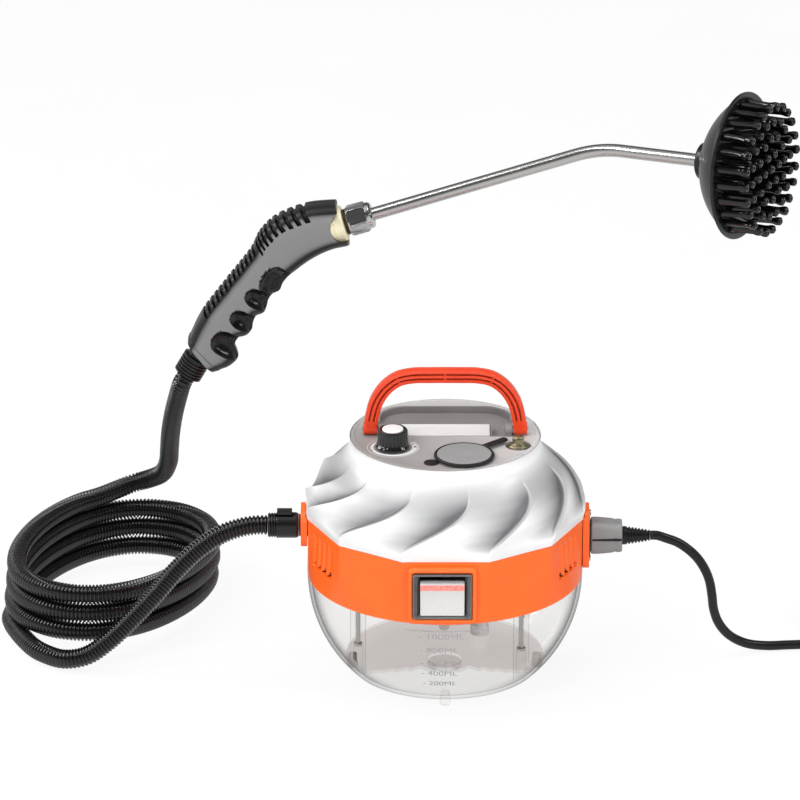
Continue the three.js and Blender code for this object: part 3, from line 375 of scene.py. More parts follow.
def grip_painted_sheen_and_shade(s, base):
    """Painted sheen: paler on faces that are square to the joint plane. Painted shade: the finger hollows and the
    underside of the nose stay black.
    """
    square = s.math("ABSOLUTE", tilt(s, "Y"))
    base = s.mix(s.range(square, 0, 1, 0.90, 0.985), base, (0.17, 0.17, 0.17))
    hollow = s.add("ShaderNodeAttribute", attribute_name="hollow").outputs["Fac"]
    return s.mix(hollow, base, (0.005, 0.005, 0.005))


def shaded_panel(s, base):
    """A little darker towards the front and the left."""
    split = s.add("ShaderNodeSeparateXYZ", Vector=s.place)
    across = s.math("ADD", split.outputs["X"], s.math("MULTIPLY", split.outputs["Y"], 1.1))
    return s.mix(s.range(across, 1, 0, -0.10, 0.05), base, (0.23, 0.215, 0.21))


MAT = {
    "orange_plastic": surface("orange_plastic", (0.93, 0.125, 0.010), 0.34, coat=0.15, grain=900, bump=0.00001),
    "handle_plastic": surface("handle_plastic", (0.62, 0.040, 0.006), 0.34, coat=0.15, grain=900, bump=0.00001),
    "silver_plastic": surface("silver_plastic", (0.90, 0.90, 0.905), 0.36, metal=0.25, grain=2600, bump=0.000002, vary=0.01, wear=0.05, extra=silver_painted_shade),
    "panel_plastic": surface("panel_plastic", (0.46, 0.445, 0.44), 0.5, grain=2200, bump=0.00001, vary=0.03, extra=shaded_panel),
    "dark_plastic": surface("dark_plastic", (0.19, 0.18, 0.177), 0.55, grain=1600, bump=0.00003),
    "grey_plastic": surface("grey_plastic", (0.215, 0.215, 0.215), 0.48, grain=2400, bump=0.00003),
    "white_plastic": surface("white_plastic", (0.62, 0.60, 0.595), 0.3, grain=1200, bump=0.000006, vary=0.02, coat=0.2),
    "black_plastic": surface("black_plastic", (0.005, 0.005, 0.005), 0.28, grain=1600, bump=0.00002, wear=0.05, coat=0.2),
    "gun_plastic": surface("gun_plastic", (0.010, 0.010, 0.010), 0.36, grain=1900, bump=0.00002, wear=0.05, extra=grip_painted_sheen_and_shade, polish="hollow"),
    "hose_plastic": surface("hose_plastic", (0.003, 0.003, 0.003), 0.2, grain=1200, bump=0.00001, wear=0.02, coat=0.7),
    "inner_tube": surface("inner_tube", (0.78, 0.79, 0.78), 0.35, grain=800, bump=0.00001),
    "connector_plastic": surface("connector_plastic", (0.20, 0.20, 0.20), 0.4, grain=1800, bump=0.00002),
    "cord_rubber": surface("cord_rubber", (0.005, 0.005, 0.005), 0.3, grain=1500, bump=0.00002, wear=0.03),
    "black_rubber": surface("black_rubber", (0.007, 0.007, 0.007), 0.5, grain=1700, bump=0.00003, wear=0.05),
    "bristle_nylon": surface("bristle_nylon", (0.002, 0.002, 0.002), 0.16, grain=1500, bump=0.00001, wear=0.04, coat=0.5),
    "steel": surface("steel", (0.62, 0.61, 0.60), 0.3, 1.0, grain=1000, bump=0.00001, stretch=(1, 1, 12)),
    "polished_steel": surface("polished_steel", (0.74, 0.73, 0.72), 0.22, 1.0, grain=500, bump=0.000001, spread=0.03, vary=0.02),
    "chrome": surface("chrome", (0.80, 0.80, 0.80), 0.09, 1.0, grain=700, bump=0.000002, spread=0.03, vary=0.02),
    "brass": surface("brass", (0.95, 0.88, 0.62), 0.36, 0.6, grain=1300, bump=0.000003, spread=0.05, vary=0.03),
    "cast_aluminium": surface("cast_aluminium", (0.55, 0.55, 0.55), 0.48, 1.0, grain=500, bump=0.00012, vary=0.12),
}

MAT["valve_brass"] = surface("valve_brass", (0.42, 0.38, 0.24), 0.38, 1.0, grain=1300, bump=0.00001)
# painted shadow: dark brown for the shadowed groove between the collar and the nut
MAT["collar_painted_shadow"] = surface("collar_painted_shadow", (0.045, 0.030, 0.015), 0.35, 0.5, grain=1300, bump=0.00001)
# painted shade: a darker red for the shade in the handle's grooves
MAT["handle_groove_shade"] = surface("handle_groove_shade", (0.38, 0.022, 0.004), 0.5, grain=900, bump=0.00001, wear=0.0)
# near-black: the gun's own black in its slots, and painted shade in the band's louvre holes
MAT["slot_black_and_vent_shade"] = surface("slot_black_and_vent_shade", (0.002, 0.002, 0.002), 0.6, grain=1200, bump=0.00001, wear=0.0)
# painted sheen: mid-grey for the reflection on the black bezel's bevelled face
MAT["bezel_painted_sheen"] = surface("bezel_painted_sheen", (0.12, 0.12, 0.12), 0.4, grain=1500, bump=0.00001)
# painted shade: grey for the light and dark of the clear tank's moulded marks and step
MAT["mark_painted_shade"] = surface("mark_painted_shade", (0.30, 0.30, 0.30), 0.5, grain=900, bump=0.000004)
MAT["knob_black"] = surface("knob_black", (0.004, 0.004, 0.004), 0.12, grain=1500, bump=0.000003, wear=0.03, coat=0.9)
MAT["chrome_cap"] = surface("chrome_cap", (0.88, 0.87, 0.86), 0.2, metal=0.3, grain=1300, bump=0.000004, vary=0.02, coat=0.3)
MAT["dial_print"] = surface("dial_print", (0.62, 0.61, 0.60), 0.4, grain=1500, bump=0.000004, vary=0.02)
MAT["label_white"] = surface("label_white", (0.60, 0.59, 0.58), 0.45, grain=2600, bump=0.00001, vary=0.02)
MAT["brush_black"] = surface("brush_black", (0.006, 0.006, 0.006), 0.3, grain=1700, bump=0.00002, wear=0.05, coat=0.1)


def clear_plastic(name="clear_plastic", tint=(0.99, 0.988, 0.985), edge_on=(0.24, 0.235, 0.23)):
    """Clear moulded polycarbonate: see-through square on, grey where the wall is seen edge on, glossy all over."""
    s = Shader(name)
    facing = s.add("ShaderNodeLayerWeight", Blend=0.5).outputs["Facing"]
    edge = s.range(facing, 0, 1, 0.62, 1.0)
    haze = s.range(s.noise(22, 3), 0.985, 1.0)
    clear = s.mix(s.math("POWER", edge, 1.6), tint, edge_on)
    through = s.add("ShaderNodeBsdfTransparent", Color=s.mix(1.0, clear, s.add("ShaderNodeCombineColor", Red=haze, Green=haze, Blue=haze).outputs[0], "MULTIPLY"))
    gloss = s.add("ShaderNodeBsdfGlossy", Color=(1, 1, 1), Roughness=s.range(s.noise(600, 2), 0.03, 0.08), Normal=s.bump(s.noise(45, 3), 0.0001))
    m = s.add("ShaderNodeMixShader")
    s.put(s.math("ADD", s.math("MULTIPLY", s.math("POWER", facing, 4), 0.36), 0.03), m.inputs[0])
    s.tree.links.new(through.outputs[0], m.inputs[1])
    s.tree.links.new(gloss.outputs[0], m.inputs[2])
    return s.end(m.outputs[0])


def lamp_window():
    """Tinted window of the switch's lamp."""
    s = Shader("lamp_window")
    p = s.add("ShaderNodeBsdfPrincipled")
    s.put(s.mix(s.range(s.noise(300, 3), 0, 1), (0.80, 0.16, 0.14), (0.95, 0.34, 0.30)), p.inputs["Base Color"])
    s.put(s.range(s.noise(900, 2), 0.15, 0.25), p.inputs["Roughness"])
    s.put((0.9, 0.25, 0.2), p.inputs["Emission Color"])
    s.put(0.12, p.inputs["Emission Strength"])
    s.put(s.bump(s.noise(1500, 2), 0.00001), p.inputs["Normal"])
    return s.end(p.outputs[0])


MAT["clear_plastic"] = clear_plastic()
# painted reflection: taupe tint for the dark reflection seen on the lower back of the bowl
MAT["far_wall_painted_reflection"] = clear_plastic("far_wall_painted_reflection", (0.85, 0.82, 0.81))
MAT["inner_tube"] = clear_plastic("inner_tube", (0.97, 0.97, 0.97), (0.75, 0.75, 0.75))
MAT["lamp_window"] = lamp_window()


# ---- Camera, light and floor ---------------------------------------------------------------------------
LOOK_AT = mm(-37.6, 0, 241.9)
TILT = rad(22)
CAMERA_DISTANCE = 6.0
FRAME_WIDTH = 0.664  # metres across the picture at LOOK_AT
SENSOR = 36

camera_data = bpy.data.cameras.new("camera")
camera_data.sensor_width = SENSOR
camera_data.lens = SENSOR * CAMERA_DISTANCE / FRAME_WIDTH
camera_data.clip_end = 60
camera = bpy.data.objects.new("camera", camera_data)
scene.collection.objects.link(camera)
camera.location = LOOK_AT + CAMERA_DISTANCE * Vector((0, -math.cos(TILT), math.sin(TILT)))
camera.rotation_euler = (PI / 2 - TILT, 0, 0)
scene.camera = camera
scene.view_settings.view_transform = "Standard"


def softbox(name, at, aim, width, height, power, colour=(1, 1, 1), mirrored=False):
    data = bpy.data.lights.new(name, "AREA")
    data.shape, data.size, data.size_y, data.energy, data.color = "RECTANGLE", width, height, power, colour
    o = bpy.data.objects.new(name, data)
    o.location = at
    o.rotation_euler = (Vector(aim) - Vector(at)).to_track_quat("-Z", "Y").to_euler()
    o.visible_glossy = mirrored
    scene.collection.objects.link(o)


MIDDLE = (0, 0.05, 0.2)
softbox("key", (-1.3, -2.0, 2.0), MIDDLE, 1.2, 1.2, 52)
softbox("fill", (2.2, -1.6, 1.2), MIDDLE, 1.0, 1.8, 34)
softbox("top", (0.1, 0.5, 2.6), MIDDLE, 2.0, 1.6, 34)
softbox("front", (0.0, -3.2, 0.5), (0, 0, 0.15), 2.6, 0.7, 40)
softbox("strip", (-1.5, -0.6, 2.1), MIDDLE, 0.25, 1.6, 14, mirrored=True)
softbox("left", (-2.0, 0.5, 1.6), MIDDLE, 0.6, 1.6, 22, mirrored=True)
softbox("rim", (1.7, -0.2, 1.7), MIDDLE, 0.25, 1.4, 9, mirrored=True)


def world():
    """White to the camera. Reflections see a pale room, darker along the horizon."""
    w = bpy.data.worlds.new("room")
    w.use_nodes = True
    t = w.node_tree
    t.nodes.clear()
    add = t.nodes.new
    out, mix = add("ShaderNodeOutputWorld"), add("ShaderNodeMixShader")
    seen, room = add("ShaderNodeBackground"), add("ShaderNodeBackground")
    seen.inputs[0].default_value = (1, 1, 1, 1)
    place, split, ramp = add("ShaderNodeTexCoord"), add("ShaderNodeSeparateXYZ"), add("ShaderNodeValToRGB")
    t.links.new(place.outputs["Generated"], split.inputs[0])
    half = add("ShaderNodeMapRange")
    half.inputs[1].default_value, half.inputs[2].default_value = -1, 1
    t.links.new(split.outputs["Z"], half.inputs[0])
    t.links.new(half.outputs[0], ramp.inputs[0])
    stops = [(0.0, 0.5), (0.46, 0.55), (0.54, 0.75), (0.60, 0.42), (0.68, 0.12), (0.86, 0.07), (0.94, 0.42), (1.0, 0.95)]
    while len(ramp.color_ramp.elements) < len(stops):
        ramp.color_ramp.elements.new(0.5)
    for e, (at, v) in zip(ramp.color_ramp.elements, stops, strict=True):
        e.position, e.color = at, (v, v, v, 1)
    t.links.new(ramp.outputs[0], room.inputs[0])
    room.inputs[1].default_value = 0.85
    ray = add("ShaderNodeLightPath")
    t.links.new(ray.outputs["Is Camera Ray"], mix.inputs[0])
    t.links.new(room.outputs[0], mix.inputs[1])
    t.links.new(seen.outputs[0], mix.inputs[2])
    t.links.new(mix.outputs[0], out.inputs[0])
    scene.world = w


world()


def floor():
    s = Shader("floor")
    diffuse = s.add("ShaderNodeBsdfDiffuse", Color=(0.86, 0.86, 0.86))
    cloud = s.math("MULTIPLY", s.range(s.noise(3, 3), 0.985, 1.0), s.range(s.add("ShaderNodeLightPath").outputs["Is Camera Ray"], 0.55, 1.0, 0, 1))
    glow = s.add("ShaderNodeEmission", Strength=cloud)
    glow.inputs[0].default_value = (1, 1, 1, 1)
    m = s.add("ShaderNodeMixShader")
    m.inputs[0].default_value = 0.9
    s.tree.links.new(diffuse.outputs[0], m.inputs[1])
    s.tree.links.new(glow.outputs[0], m.inputs[2])
    mesh = bpy.data.meshes.new("floor")
    r = 6.0
    mesh.from_pydata([(-r, -r, -0.0006), (r, -r, -0.0006), (r, r, -0.0006), (-r, r, -0.0006)], [], [(0, 1, 2, 3)])
    mesh.materials.append(s.end(m.outputs[0]))
    o = bpy.data.objects.new("floor", mesh)
    scene.collection.objects.link(o)


floor()

# ---- The cords: the steam hose and the mains lead -------------------------------------------------------
HOSE = 16.5  # outer diameter, mm
COIL = {"x": -283.2, "y": 119, "long": 58, "short": 24, "offset": 50, "turn": -0.432}


def coil_point(t, aside=0.0):
    """A point of the hose coil's centre line at angle t, as the CAD solid is drawn."""
    n = Vector((COIL["short"] * math.cos(t), COIL["long"] * math.sin(t))).normalized()
    out = COIL["offset"] + aside
    a, b = COIL["long"] * math.cos(t) + out * n.x, COIL["short"] * math.sin(t) + out * n.y
    c, s = math.cos(COIL["turn"] - PI / 2), math.sin(COIL["turn"] - PI / 2)
    return COIL["x"] + a * c - b * s, COIL["y"] + a * s + b * c


def smooth_step(t):
    t = max(0.0, min(1.0, t))
    return t * t * (3 - 2 * t)


def hose_route():
    """From the connector down to the floor, three and a half turns up, then up to the gun's cuff."""
    down = [
        (-148.3, 0, 129.3), (-157, 0, 129.3), (-170, -1, 127.6), (-188, -2, 121), (-208, -2, 106.4), (-226, -3, 88),
        (-244, -5, 66.5), (-263, -7, 46), (-282, -9, 27.5), (-301, -9.5, 14), (-320, -6, FIRST_TURN_Z),
        (-336.5, 5, FIRST_TURN_Z), (-349, 22, FIRST_TURN_Z),
    ]
    up = [
        (-269, 229, 71.5), (-255, 226, 77), (-244, 216, 86), (-237.7, 200, 103), (-235.7, 182, 124), (-233.7, 160, 148),
        (-230.2, 138, 174), (-225.7, 121, 197), (-221.55, 110, 213.77), (-217.55, 110, 220.7),
    ]
    turns = []
    steps = 100
    for k in range(1, steps + 1):
        done = COIL_TURNS * k / steps
        lead = 4 * (1 - smooth_step(done / 0.12))
        loose = 2.4 * math.sin(5.6 * done + 0.6) * smooth_step(done / 0.5) * smooth_step((COIL_TURNS - done) / 0.3)
        x, y = coil_point(COIL_START - 2 * PI * done, lead + loose)
        turns.append((x, y, FIRST_TURN_Z + (HOSE + 0.35) * done))
    return catmull([*down, *turns, *up], 8)


FIRST_TURN_Z = HOSE / 2 + 1.0
COIL_START, COIL_TURNS = -0.38, 3.356
HOSE_PITCH = 3.1  # from rib to rib


def length_of(points):
    return float(along_line(points)[0][-1])


def corrugated(length):
    """Stations of (distance, radius) for a hose of square-shouldered ribs."""
    crest, valley = HOSE / 2, HOSE / 2 - 1.5
    out = [(0.0, valley)]
    for k in range(int(length / HOSE_PITCH)):
        s = k * HOSE_PITCH
        out += [(s + 0.4, valley), (s + 0.75, crest - 0.35), (s + 1.15, crest), (s + 1.95, crest), (s + 2.35, crest - 0.35), (s + 2.7, valley)]
    out.append((length, valley))
    return out


hose_line = hose_route()
hose_length = length_of(hose_line)
verts, faces = sweep(hose_line, corrugated(hose_length), 16)
steam_hose = new_object(
    "steam_hose", verts, faces, MAT["hose_plastic"], "base",
    replaces=("hose_to_coil", "hose_coil", "hose_to_gun"), slot="hose_plastic",
)

CORD = 8.0
LEAD_START = (171.5, 0, 119.9)
CORD_COIL = (360, 91.3)
CORD_MEAN = 42.0  # middle of the turns


def lead_route():
    """From the strain relief to the floor, out to the spare coil, round it and into the plug."""
    low = CORD / 2 + 0.1
    fall = [
        LEAD_START, (177, 0, 119.9), (184, 0, 117.6), (194.7, 0.5, 113.2), (204, 1, 106.4), (211.8, 2, 98),
        (218, 3, 87.6), (222, 5, 76.5), (224.5, 8, 62), (226.3, 12, 47.5), (231, 17, 32.5), (240.5, 23, 18.5),
        (255, 28.5, 8.6), (272, 32.5, 4.6), (290, 35, low), (308, 36.4, low), (326, 37, low), (343, 37, low),
    ]
    # Each turn lies on or beside the one before: out, in, up, up, out, down.
    turns = [(46, 0), (38, 0), (38, 1), (38, 2), (46, 2), (46, 1)]
    wound = []
    steps = 32
    first = -PI / 2
    whole = 2 * PI * 5 + 2 * PI / 3
    for k in range(int(steps * whole / (2 * PI)) + 1):
        turned_by = 2 * PI * k / steps
        since = turned_by / (2 * PI) + 7 / 12  # changes of turn come at the right-hand rear
        i = min(int(since), 5)
        share = smooth_step((since - i) / 0.16) if i and since - i < 0.16 else 1.0
        (r0, l0), (r1, l1) = turns[max(i - 1, 0)], turns[i]
        r, layer = r0 + (r1 - r0) * share, l0 + (l1 - l0) * share
        r += 8.3 * (1 - smooth_step(turned_by / (0.9 * PI / 2)))
        a = first + turned_by
        wound.append((CORD_COIL[0] + r * math.cos(a), CORD_COIL[1] + r * math.sin(a), low + layer * CORD))
    out = Vector((-math.sin(PI / 6), math.cos(PI / 6), 0))
    leave = Vector((CORD_COIL[0] + 46 * math.cos(PI / 6), CORD_COIL[1] + 46 * math.sin(PI / 6), low + CORD))
    tail = [tuple(leave + out * d + Vector((0, 0, h))) for d, h in ((12, 0.6), (24, 3.2), (33, 5.2), (37, 5.4))]
    return catmull([*fall, *wound, *tail], 8)


lead_line = lead_route()
lead_length = length_of(lead_line)
steps = int(lead_length / 3)
verts, faces = sweep(lead_line, [(lead_length * i / steps, CORD / 2 - 0.05) for i in range(steps + 1)], 14)
mains_lead = new_object(
    "mains_lead", verts, faces, MAT["cord_rubber"], "base", replaces=("power_cord", "cord_coil"), slot="cord_rubber",
)


def ribbed_relief():
    """Tapered strain relief with rings of slots, from the connector to the lead."""
    profile = [(0, 148.3), (7.6, 148.3), (7.8, 149)]
    x, r = 150.6, 7.7
    while x < 168.5:
        profile += [(r, x), (r - 0.1, x + 1.5), (r - 1.3, x + 1.7), (r - 1.4, x + 2.5)]
        x, r = x + 2.75, r - 0.42
    profile += [(4.9, 170.6), (4.5, 171.2), (0, 171.2)]
    return turned(profile, (0, 0, LEAD_START[2]), (1, 0, 0), 48)


strain = new_object(
    "lead_strain_relief", *ribbed_relief(), MAT["cord_rubber"], "base", 40, ("strain_relief",), "cord_rubber",
)


def plug():
    """Moulded plug with two round pins, lying on its side at the end of the lead."""
    along = (-math.sin(PI / 6), math.cos(PI / 6), 0)
    at = (371.8, 162.8, 17.5)
    profile = [(0, -22)]
    for k in range(6):
        t = -22 + 3 * k
        r = 4.9 + 0.28 * k
        profile += [(r, t), (r + 0.1, t + 1.8), (r - 0.7, t + 2), (r - 0.7, t + 2.7)]
    profile += [(6.6, -3.6), (11.8, 0), (17.2, 7.6), (17.5, 9), (17.5, 26.6), (16.6, 28), (0, 28)]
    body = turned(rounded(profile, 0.5, 2), at, along, 56)
    side = Vector((math.cos(PI / 6), math.sin(PI / 6), 0))
    pins = []
    for s in (-9.5, 9.5):
        start = Vector(at) + side * s
        pins.append(turned([(0, 28.05), (2.4, 28.05), (2.4, 46), (1.7, 47), (0, 47)], start, along, 24))
    return body, merged(*pins)


plug_body, plug_pins = plug()
mains_plug = new_object("plug_body", *plug_body, MAT["cord_rubber"], "base", 40, ("mains_plug",), "cord_rubber")
plug_prongs = new_object("plug_pins", *plug_pins, MAT["steel"], "base", 40, slot="steel")


def grid_tube(sections):
    """Skin over closed sections of equal point counts, with capped ends."""
    return [p for s in sections for p in s], bridge(len(sections), len(sections[0]))


def rounded_box_section(width, height, corner, n=8):
    """Points of a rounded rectangle about 0, 0."""
    out = []
    for cx, cy, start in ((1, 1, 0), (-1, 1, 90), (-1, -1, 180), (1, -1, 270)):
        for k in range(n + 1):
            a = rad(start + 90 * k / n)
            out.append((cx * (width / 2 - corner) + corner * math.cos(a), cy * (height / 2 - corner) + corner * math.sin(a)))
    return out


def mains_connector():
    """Moulded appliance connector: a body with a seam round its middle, and grip ribs."""
    z = LEAD_START[2]
    rows = [
        (121.9, 19.6, 26.6), (122.6, 21, 28), (127, 21, 28), (134, 20.2, 27.2), (140.6, 19.4, 26), (141.6, 18.4, 25),
        (143, 18.4, 25), (144, 19.4, 25.6), (147.4, 18.8, 25), (148.1, 17.6, 23.8),
    ]
    sections = [[(x, a, z + b) for a, b in rounded_box_section(w, h, 4.5)] for x, w, h in rows]
    return grid_tube(sections)


connector_parts = merged(mains_connector(), block(105.3, 121.8, -8.3, 8.3, LEAD_START[2] - 11.7, LEAD_START[2] + 11.7))
connector = new_object(
    "mains_connector", *connector_parts, MAT["connector_plastic"], "base", 35, ("power_connector",), "connector_plastic",
)
bevel(connector, 0.5)


def connector_seam():
    """The dark joint line round the connector's middle, and the sizes of a ring at its root, which is not built."""
    z = LEAD_START[2]
    seam = block(123, 147.6, -10.9, 10.9, z - 0.9, z + 0.9)
    rows = [(149.2, 15.5, 17), (148.3, 16.5, 19)]
    return seam, rows


seam, _ = connector_seam()
seam_piece = new_object("connector_seam", *seam, MAT["black_rubber"], "base", 35, slot="cord_rubber")
bevel(seam_piece, 0.3)


# ---- Body: the twelve-sided outline shared by the band and the dome ---------------------------------------
CORNERS = [18, 49, 80, 100, 131, 162]  # azimuths from the front, each side, degrees
RING = CORNERS + [360 - a for a in reversed(CORNERS)]
SIDES = 12


def facet_of(azimuth):
    """The low and high corner of the facet at an azimuth."""
    a = azimuth % 360
    for i, high in enumerate(RING):
        if a < high:
            return (RING[i - 1] if i else RING[-1] - 360), high, a
    return RING[-1], RING[0] + 360, a


def outline(azimuth, radius, share):
    """Radius at an azimuth: share 1 is the polygon through the corners, 0 the circle."""
    low, high, a = facet_of(azimuth)
    flat = math.cos(rad((high - low) / 2)) / math.cos(rad(a - (high + low) / 2))
    return radius * (1 + share * (flat - 1))


def polar(azimuth, radius, z):
    """A point at an azimuth from the front (-Y) towards +X."""
    return (radius * math.sin(rad(azimuth)), -radius * math.cos(rad(azimuth)), z)


def table_at(table, z):
    """Linear values of a table of (z, ...) rows at a height."""
    zs = [row[0] for row in table]
    return [float(np.interp(z, zs, [row[k] for row in table])) for k in range(1, len(table[0]))]


BAND_LEVELS = [(88.5, 115.2, 0), (103, 115.6, 0.4), (123, 116, 0.85), (142.3, 116.2, 1)]
DOME_LEVELS = [
    (142.6, 115.8, 1), (147, 117.8, 0.95), (152.5, 117.6, 0.8), (159, 115.4, 0.6), (165.5, 112, 0.4), (171.5, 108.2, 0.25),
    (178, 102.6, 0.12), (183.5, 96, 0.05), (189, 88.4, 0), (196, 82, 0), (203, 79.3, 0),
]

# ---- Silver dome: twelve blades that overlap along swept creases -----------------------------------------
CREASE_SWEEP = 31  # degrees that a crease leans to the right on its way up
CREASE_STEP = 4.0  # how far one blade stands over the next, mm
DOME_WALL = 2.4


BLADE_EDGE = 0.96  # share of a facet where a blade ends and the step up to the next one begins


def dome_column(z, facet, u):
    """Azimuth, radius and depth of painted shade of the dome at a share u of a facet, at height z."""
    low, high = facet
    radius, share = (sum(v) / len(v) for v in zip(*(table_at(DOME_LEVELS, z + d) for d in range(-4, 5)), strict=True))
    lean = CREASE_SWEEP * smooth_step((z - 147) / 43)
    tall = smooth_step((z - 146) / 14) * (1 - smooth_step((z - 178) / 15))
    shade_tall = smooth_step((z - 145) / 20) * (1 - smooth_step((z - 174) / 24))
    # foot is the share of painted shade, rising towards the foot of the blade
    if u < BLADE_EDGE:
        blade, foot = (1 - u / BLADE_EDGE) ** 1.6, (u / BLADE_EDGE) ** 1.3
    else:
        step = (u - BLADE_EDGE) / (1 - BLADE_EDGE)
        blade, foot = smooth_step(step), 1 - smooth_step(step * 1.6)
    a = low + (high - low) * u
    flat = math.cos(rad((high - low) / 2)) / math.cos(rad(a - (high + low) / 2))
    r = radius * (1 + share * (flat - 1)) + CREASE_STEP * tall * (blade - 0.62)
    return a + lean, r, foot * shade_tall


def dome():
    """Outer skin, a neck round the panel, a lip under it, and an inner skin. Also the painted shade at each point."""
    shares = [BLADE_EDGE * k / 44 for k in range(44)] + [BLADE_EDGE + (1 - BLADE_EDGE) * k / 5 for k in range(5)]
    facets = [(RING[i - 1] - (360 if i == 0 else 0), RING[i]) for i in range(len(RING))]
    columns = [(facet, u) for facet in facets for u in shares]
    levels = [142.6, 142.9, 143.6] + [144.5 + 1.15 * k for k in range(50)] + [202.2, 205, 208, 210.2]
    rows, shades = [], []
    for z in levels:
        found = [dome_column(z, *column) for column in columns]
        rows.append([polar(a, r - (0.5 if z < 142.7 else 0), z) for a, r, _ in found])
        shades += [value for _, _, value in found]
    inside = [(79.6, 210.8), (79.2, 210.8), (79.15, 203), (74, 202.8), (74, 200.7), (77, 200.7)]
    inside += [(table_at(DOME_LEVELS, z)[0] - DOME_WALL - 2.2, z) for z in (196, 189, 183.5, 178, 171.5, 165.5, 159, 152.5, 147, 142.6)]
    for r, z in inside:
        _, share = table_at(DOME_LEVELS, z)
        ring = []
        for facet, u in columns:
            a, _, _ = dome_column(z, facet, u)
            ring.append(polar(a, outline(a, r, share) if z < 200 else r, z))
        rows.append(ring)
    shades += [0.0] * (len(inside) * len(columns))
    return *grid_loop(rows), shades


def grid_loop(rows):
    """Skin over rings that close back on the first one."""
    return [p for row in rows for p in row], bridge(len(rows), len(rows[0]), loop=True)


verts, faces, shades = dome()
dome_piece = new_object("dome", verts, faces, MAT["silver_plastic"], "base", 50, ("dome_cover",), "silver_plastic")
# painted shade per point, darkening the silver towards each blade's foot
blade_painted_shade = dome_piece.data.attributes.new("blade_painted_shade", "FLOAT", "POINT")
for entry, value in zip(blade_painted_shade.data, shades, strict=True):
    entry.value = value

# ---- Orange band with louvres, and the raised frame of the switch ----------------------------------------
SWITCH = (-2.8, 114.2)  # x, z of the switch's middle
VENTS = ((49, 80), (280, 311))


def vent_depth(azimuth, z):
    """How far the band is sunk at a louvre: four grooves in the facets before and behind each side."""
    for low, high in VENTS:
        if low < azimuth < high:
            u = (azimuth - low) / (high - low)
            if high > 180:
                u = 1 - u
            groove = (u - 0.20) / 0.155
            k = math.floor(groove)
            if 0 <= k < 4:
                across = abs(groove - k - 0.5)
                bottom, top = 106.5, 137.5
                ends = smooth_step((z - bottom) / 0.6) * (1 - smooth_step((z - top + 5) / 5))
                sunk = 1.1 * smooth_step((0.36 - across) / 0.22)
                hole = 2.4 if across < 0.44 * (1 - (z - bottom) / 5.4) and bottom < z < bottom + 5.4 else 0
                return (sunk + hole) * ends
    return 0.0


def band_ring(z, grow, vents=True):
    row = []
    radius, share = table_at(BAND_LEVELS, z)
    for i in range(BAND_COUNT):
        a = 360 * i / BAND_COUNT
        r = outline(a, radius + grow, share)
        row.append(polar(a, r - (vent_depth(a, z) if vents else 0), z))
    return row


BAND_COUNT = 720
BAND_WALL = 2.6


def band():
    zs = [88.5, 88.9, 89.6] + [90.4 + 0.84 * k for k in range(61)] + [141.9, 142.3]
    outer = [band_ring(z, -0.5 if z in (88.5, 142.3) else 0) for z in zs]
    outer[0] = band_ring(88.5, -0.5)
    inner = [band_ring(z, -BAND_WALL - 1.4, False) for z in (142.3, 123, 103, 88.5)]
    verts, faces = grid_loop(outer + inner)

    def open_here(face):
        """True in the switch's opening."""
        x = sum(verts[i][0] for i in face) / 4
        y = sum(verts[i][1] for i in face) / 4
        z = sum(verts[i][2] for i in face) / 4
        return y < -90 and abs(x - SWITCH[0]) < 22.5 and abs(z - SWITCH[1]) < 20

    return verts, [f for f in faces if not open_here(f)]


band_piece = new_object(
    "band", *band(), [MAT["orange_plastic"], MAT["slot_black_and_vent_shade"]], "base", 38, ("middle_band",), "orange_plastic",
)
# painted shade: the deepest part of each louvre is near-black where the dark inside of the body would show
for p in band_piece.data.polygons:
    x, y, z = (c / MM for c in p.center)
    azimuth = math.degrees(math.atan2(x, -y)) % 360
    wide, _ = table_at(BAND_LEVELS, z)
    if math.hypot(x, y) > 100 and vent_depth(azimuth, z) > 1.9:
        p.material_index = 1


def frame_ring(rows):
    """A rounded rectangular frame about the switch: rows of (width, height, corner, y) sections, closed round."""
    sections = [[(SWITCH[0] + a, y, SWITCH[1] + b) for a, b in rounded_box_section(w, h, c)] for w, h, c, y in rows]
    return grid_loop(sections)


switch_frame = frame_ring([
    (57.2, 49.8, 4.8, -110.4), (57.2, 49.8, 4.8, -113.8), (56.4, 49, 4.5, -115.4), (55.2, 47.8, 4.0, -116.1),
    (51, 43.6, 2.4, -116.2), (49.9, 42.3, 1.9, -115.9), (49.5, 41.5, 1.7, -115.2), (49.4, 40.6, 1.6, -110.4),
])
new_object("switch_frame", *switch_frame, MAT["orange_plastic"], "base", 50, slot="orange_plastic")
bezel = frame_ring([
    (48.6, 39.4, 1.6, -114.5), (48.6, 39.4, 1.6, -116.9), (47.8, 38.6, 1.4, -117.6), (46.6, 37.4, 1.2, -117.5),
    (45.6, 36.6, 1.0, -116.7), (38.6, 35.6, 0.8, -110.2), (37.9, 35.1, 0.8, -109.6), (37.9, 35.1, 0.8, -88), (42, 37.8, 1, -88), (42, 37.8, 1, -114.5),
])
# the black bezel wears the grey painted sheen
new_object("switch_bezel", *bezel, MAT["bezel_painted_sheen"], "base", 35, ("switch_housing",), "black_plastic")


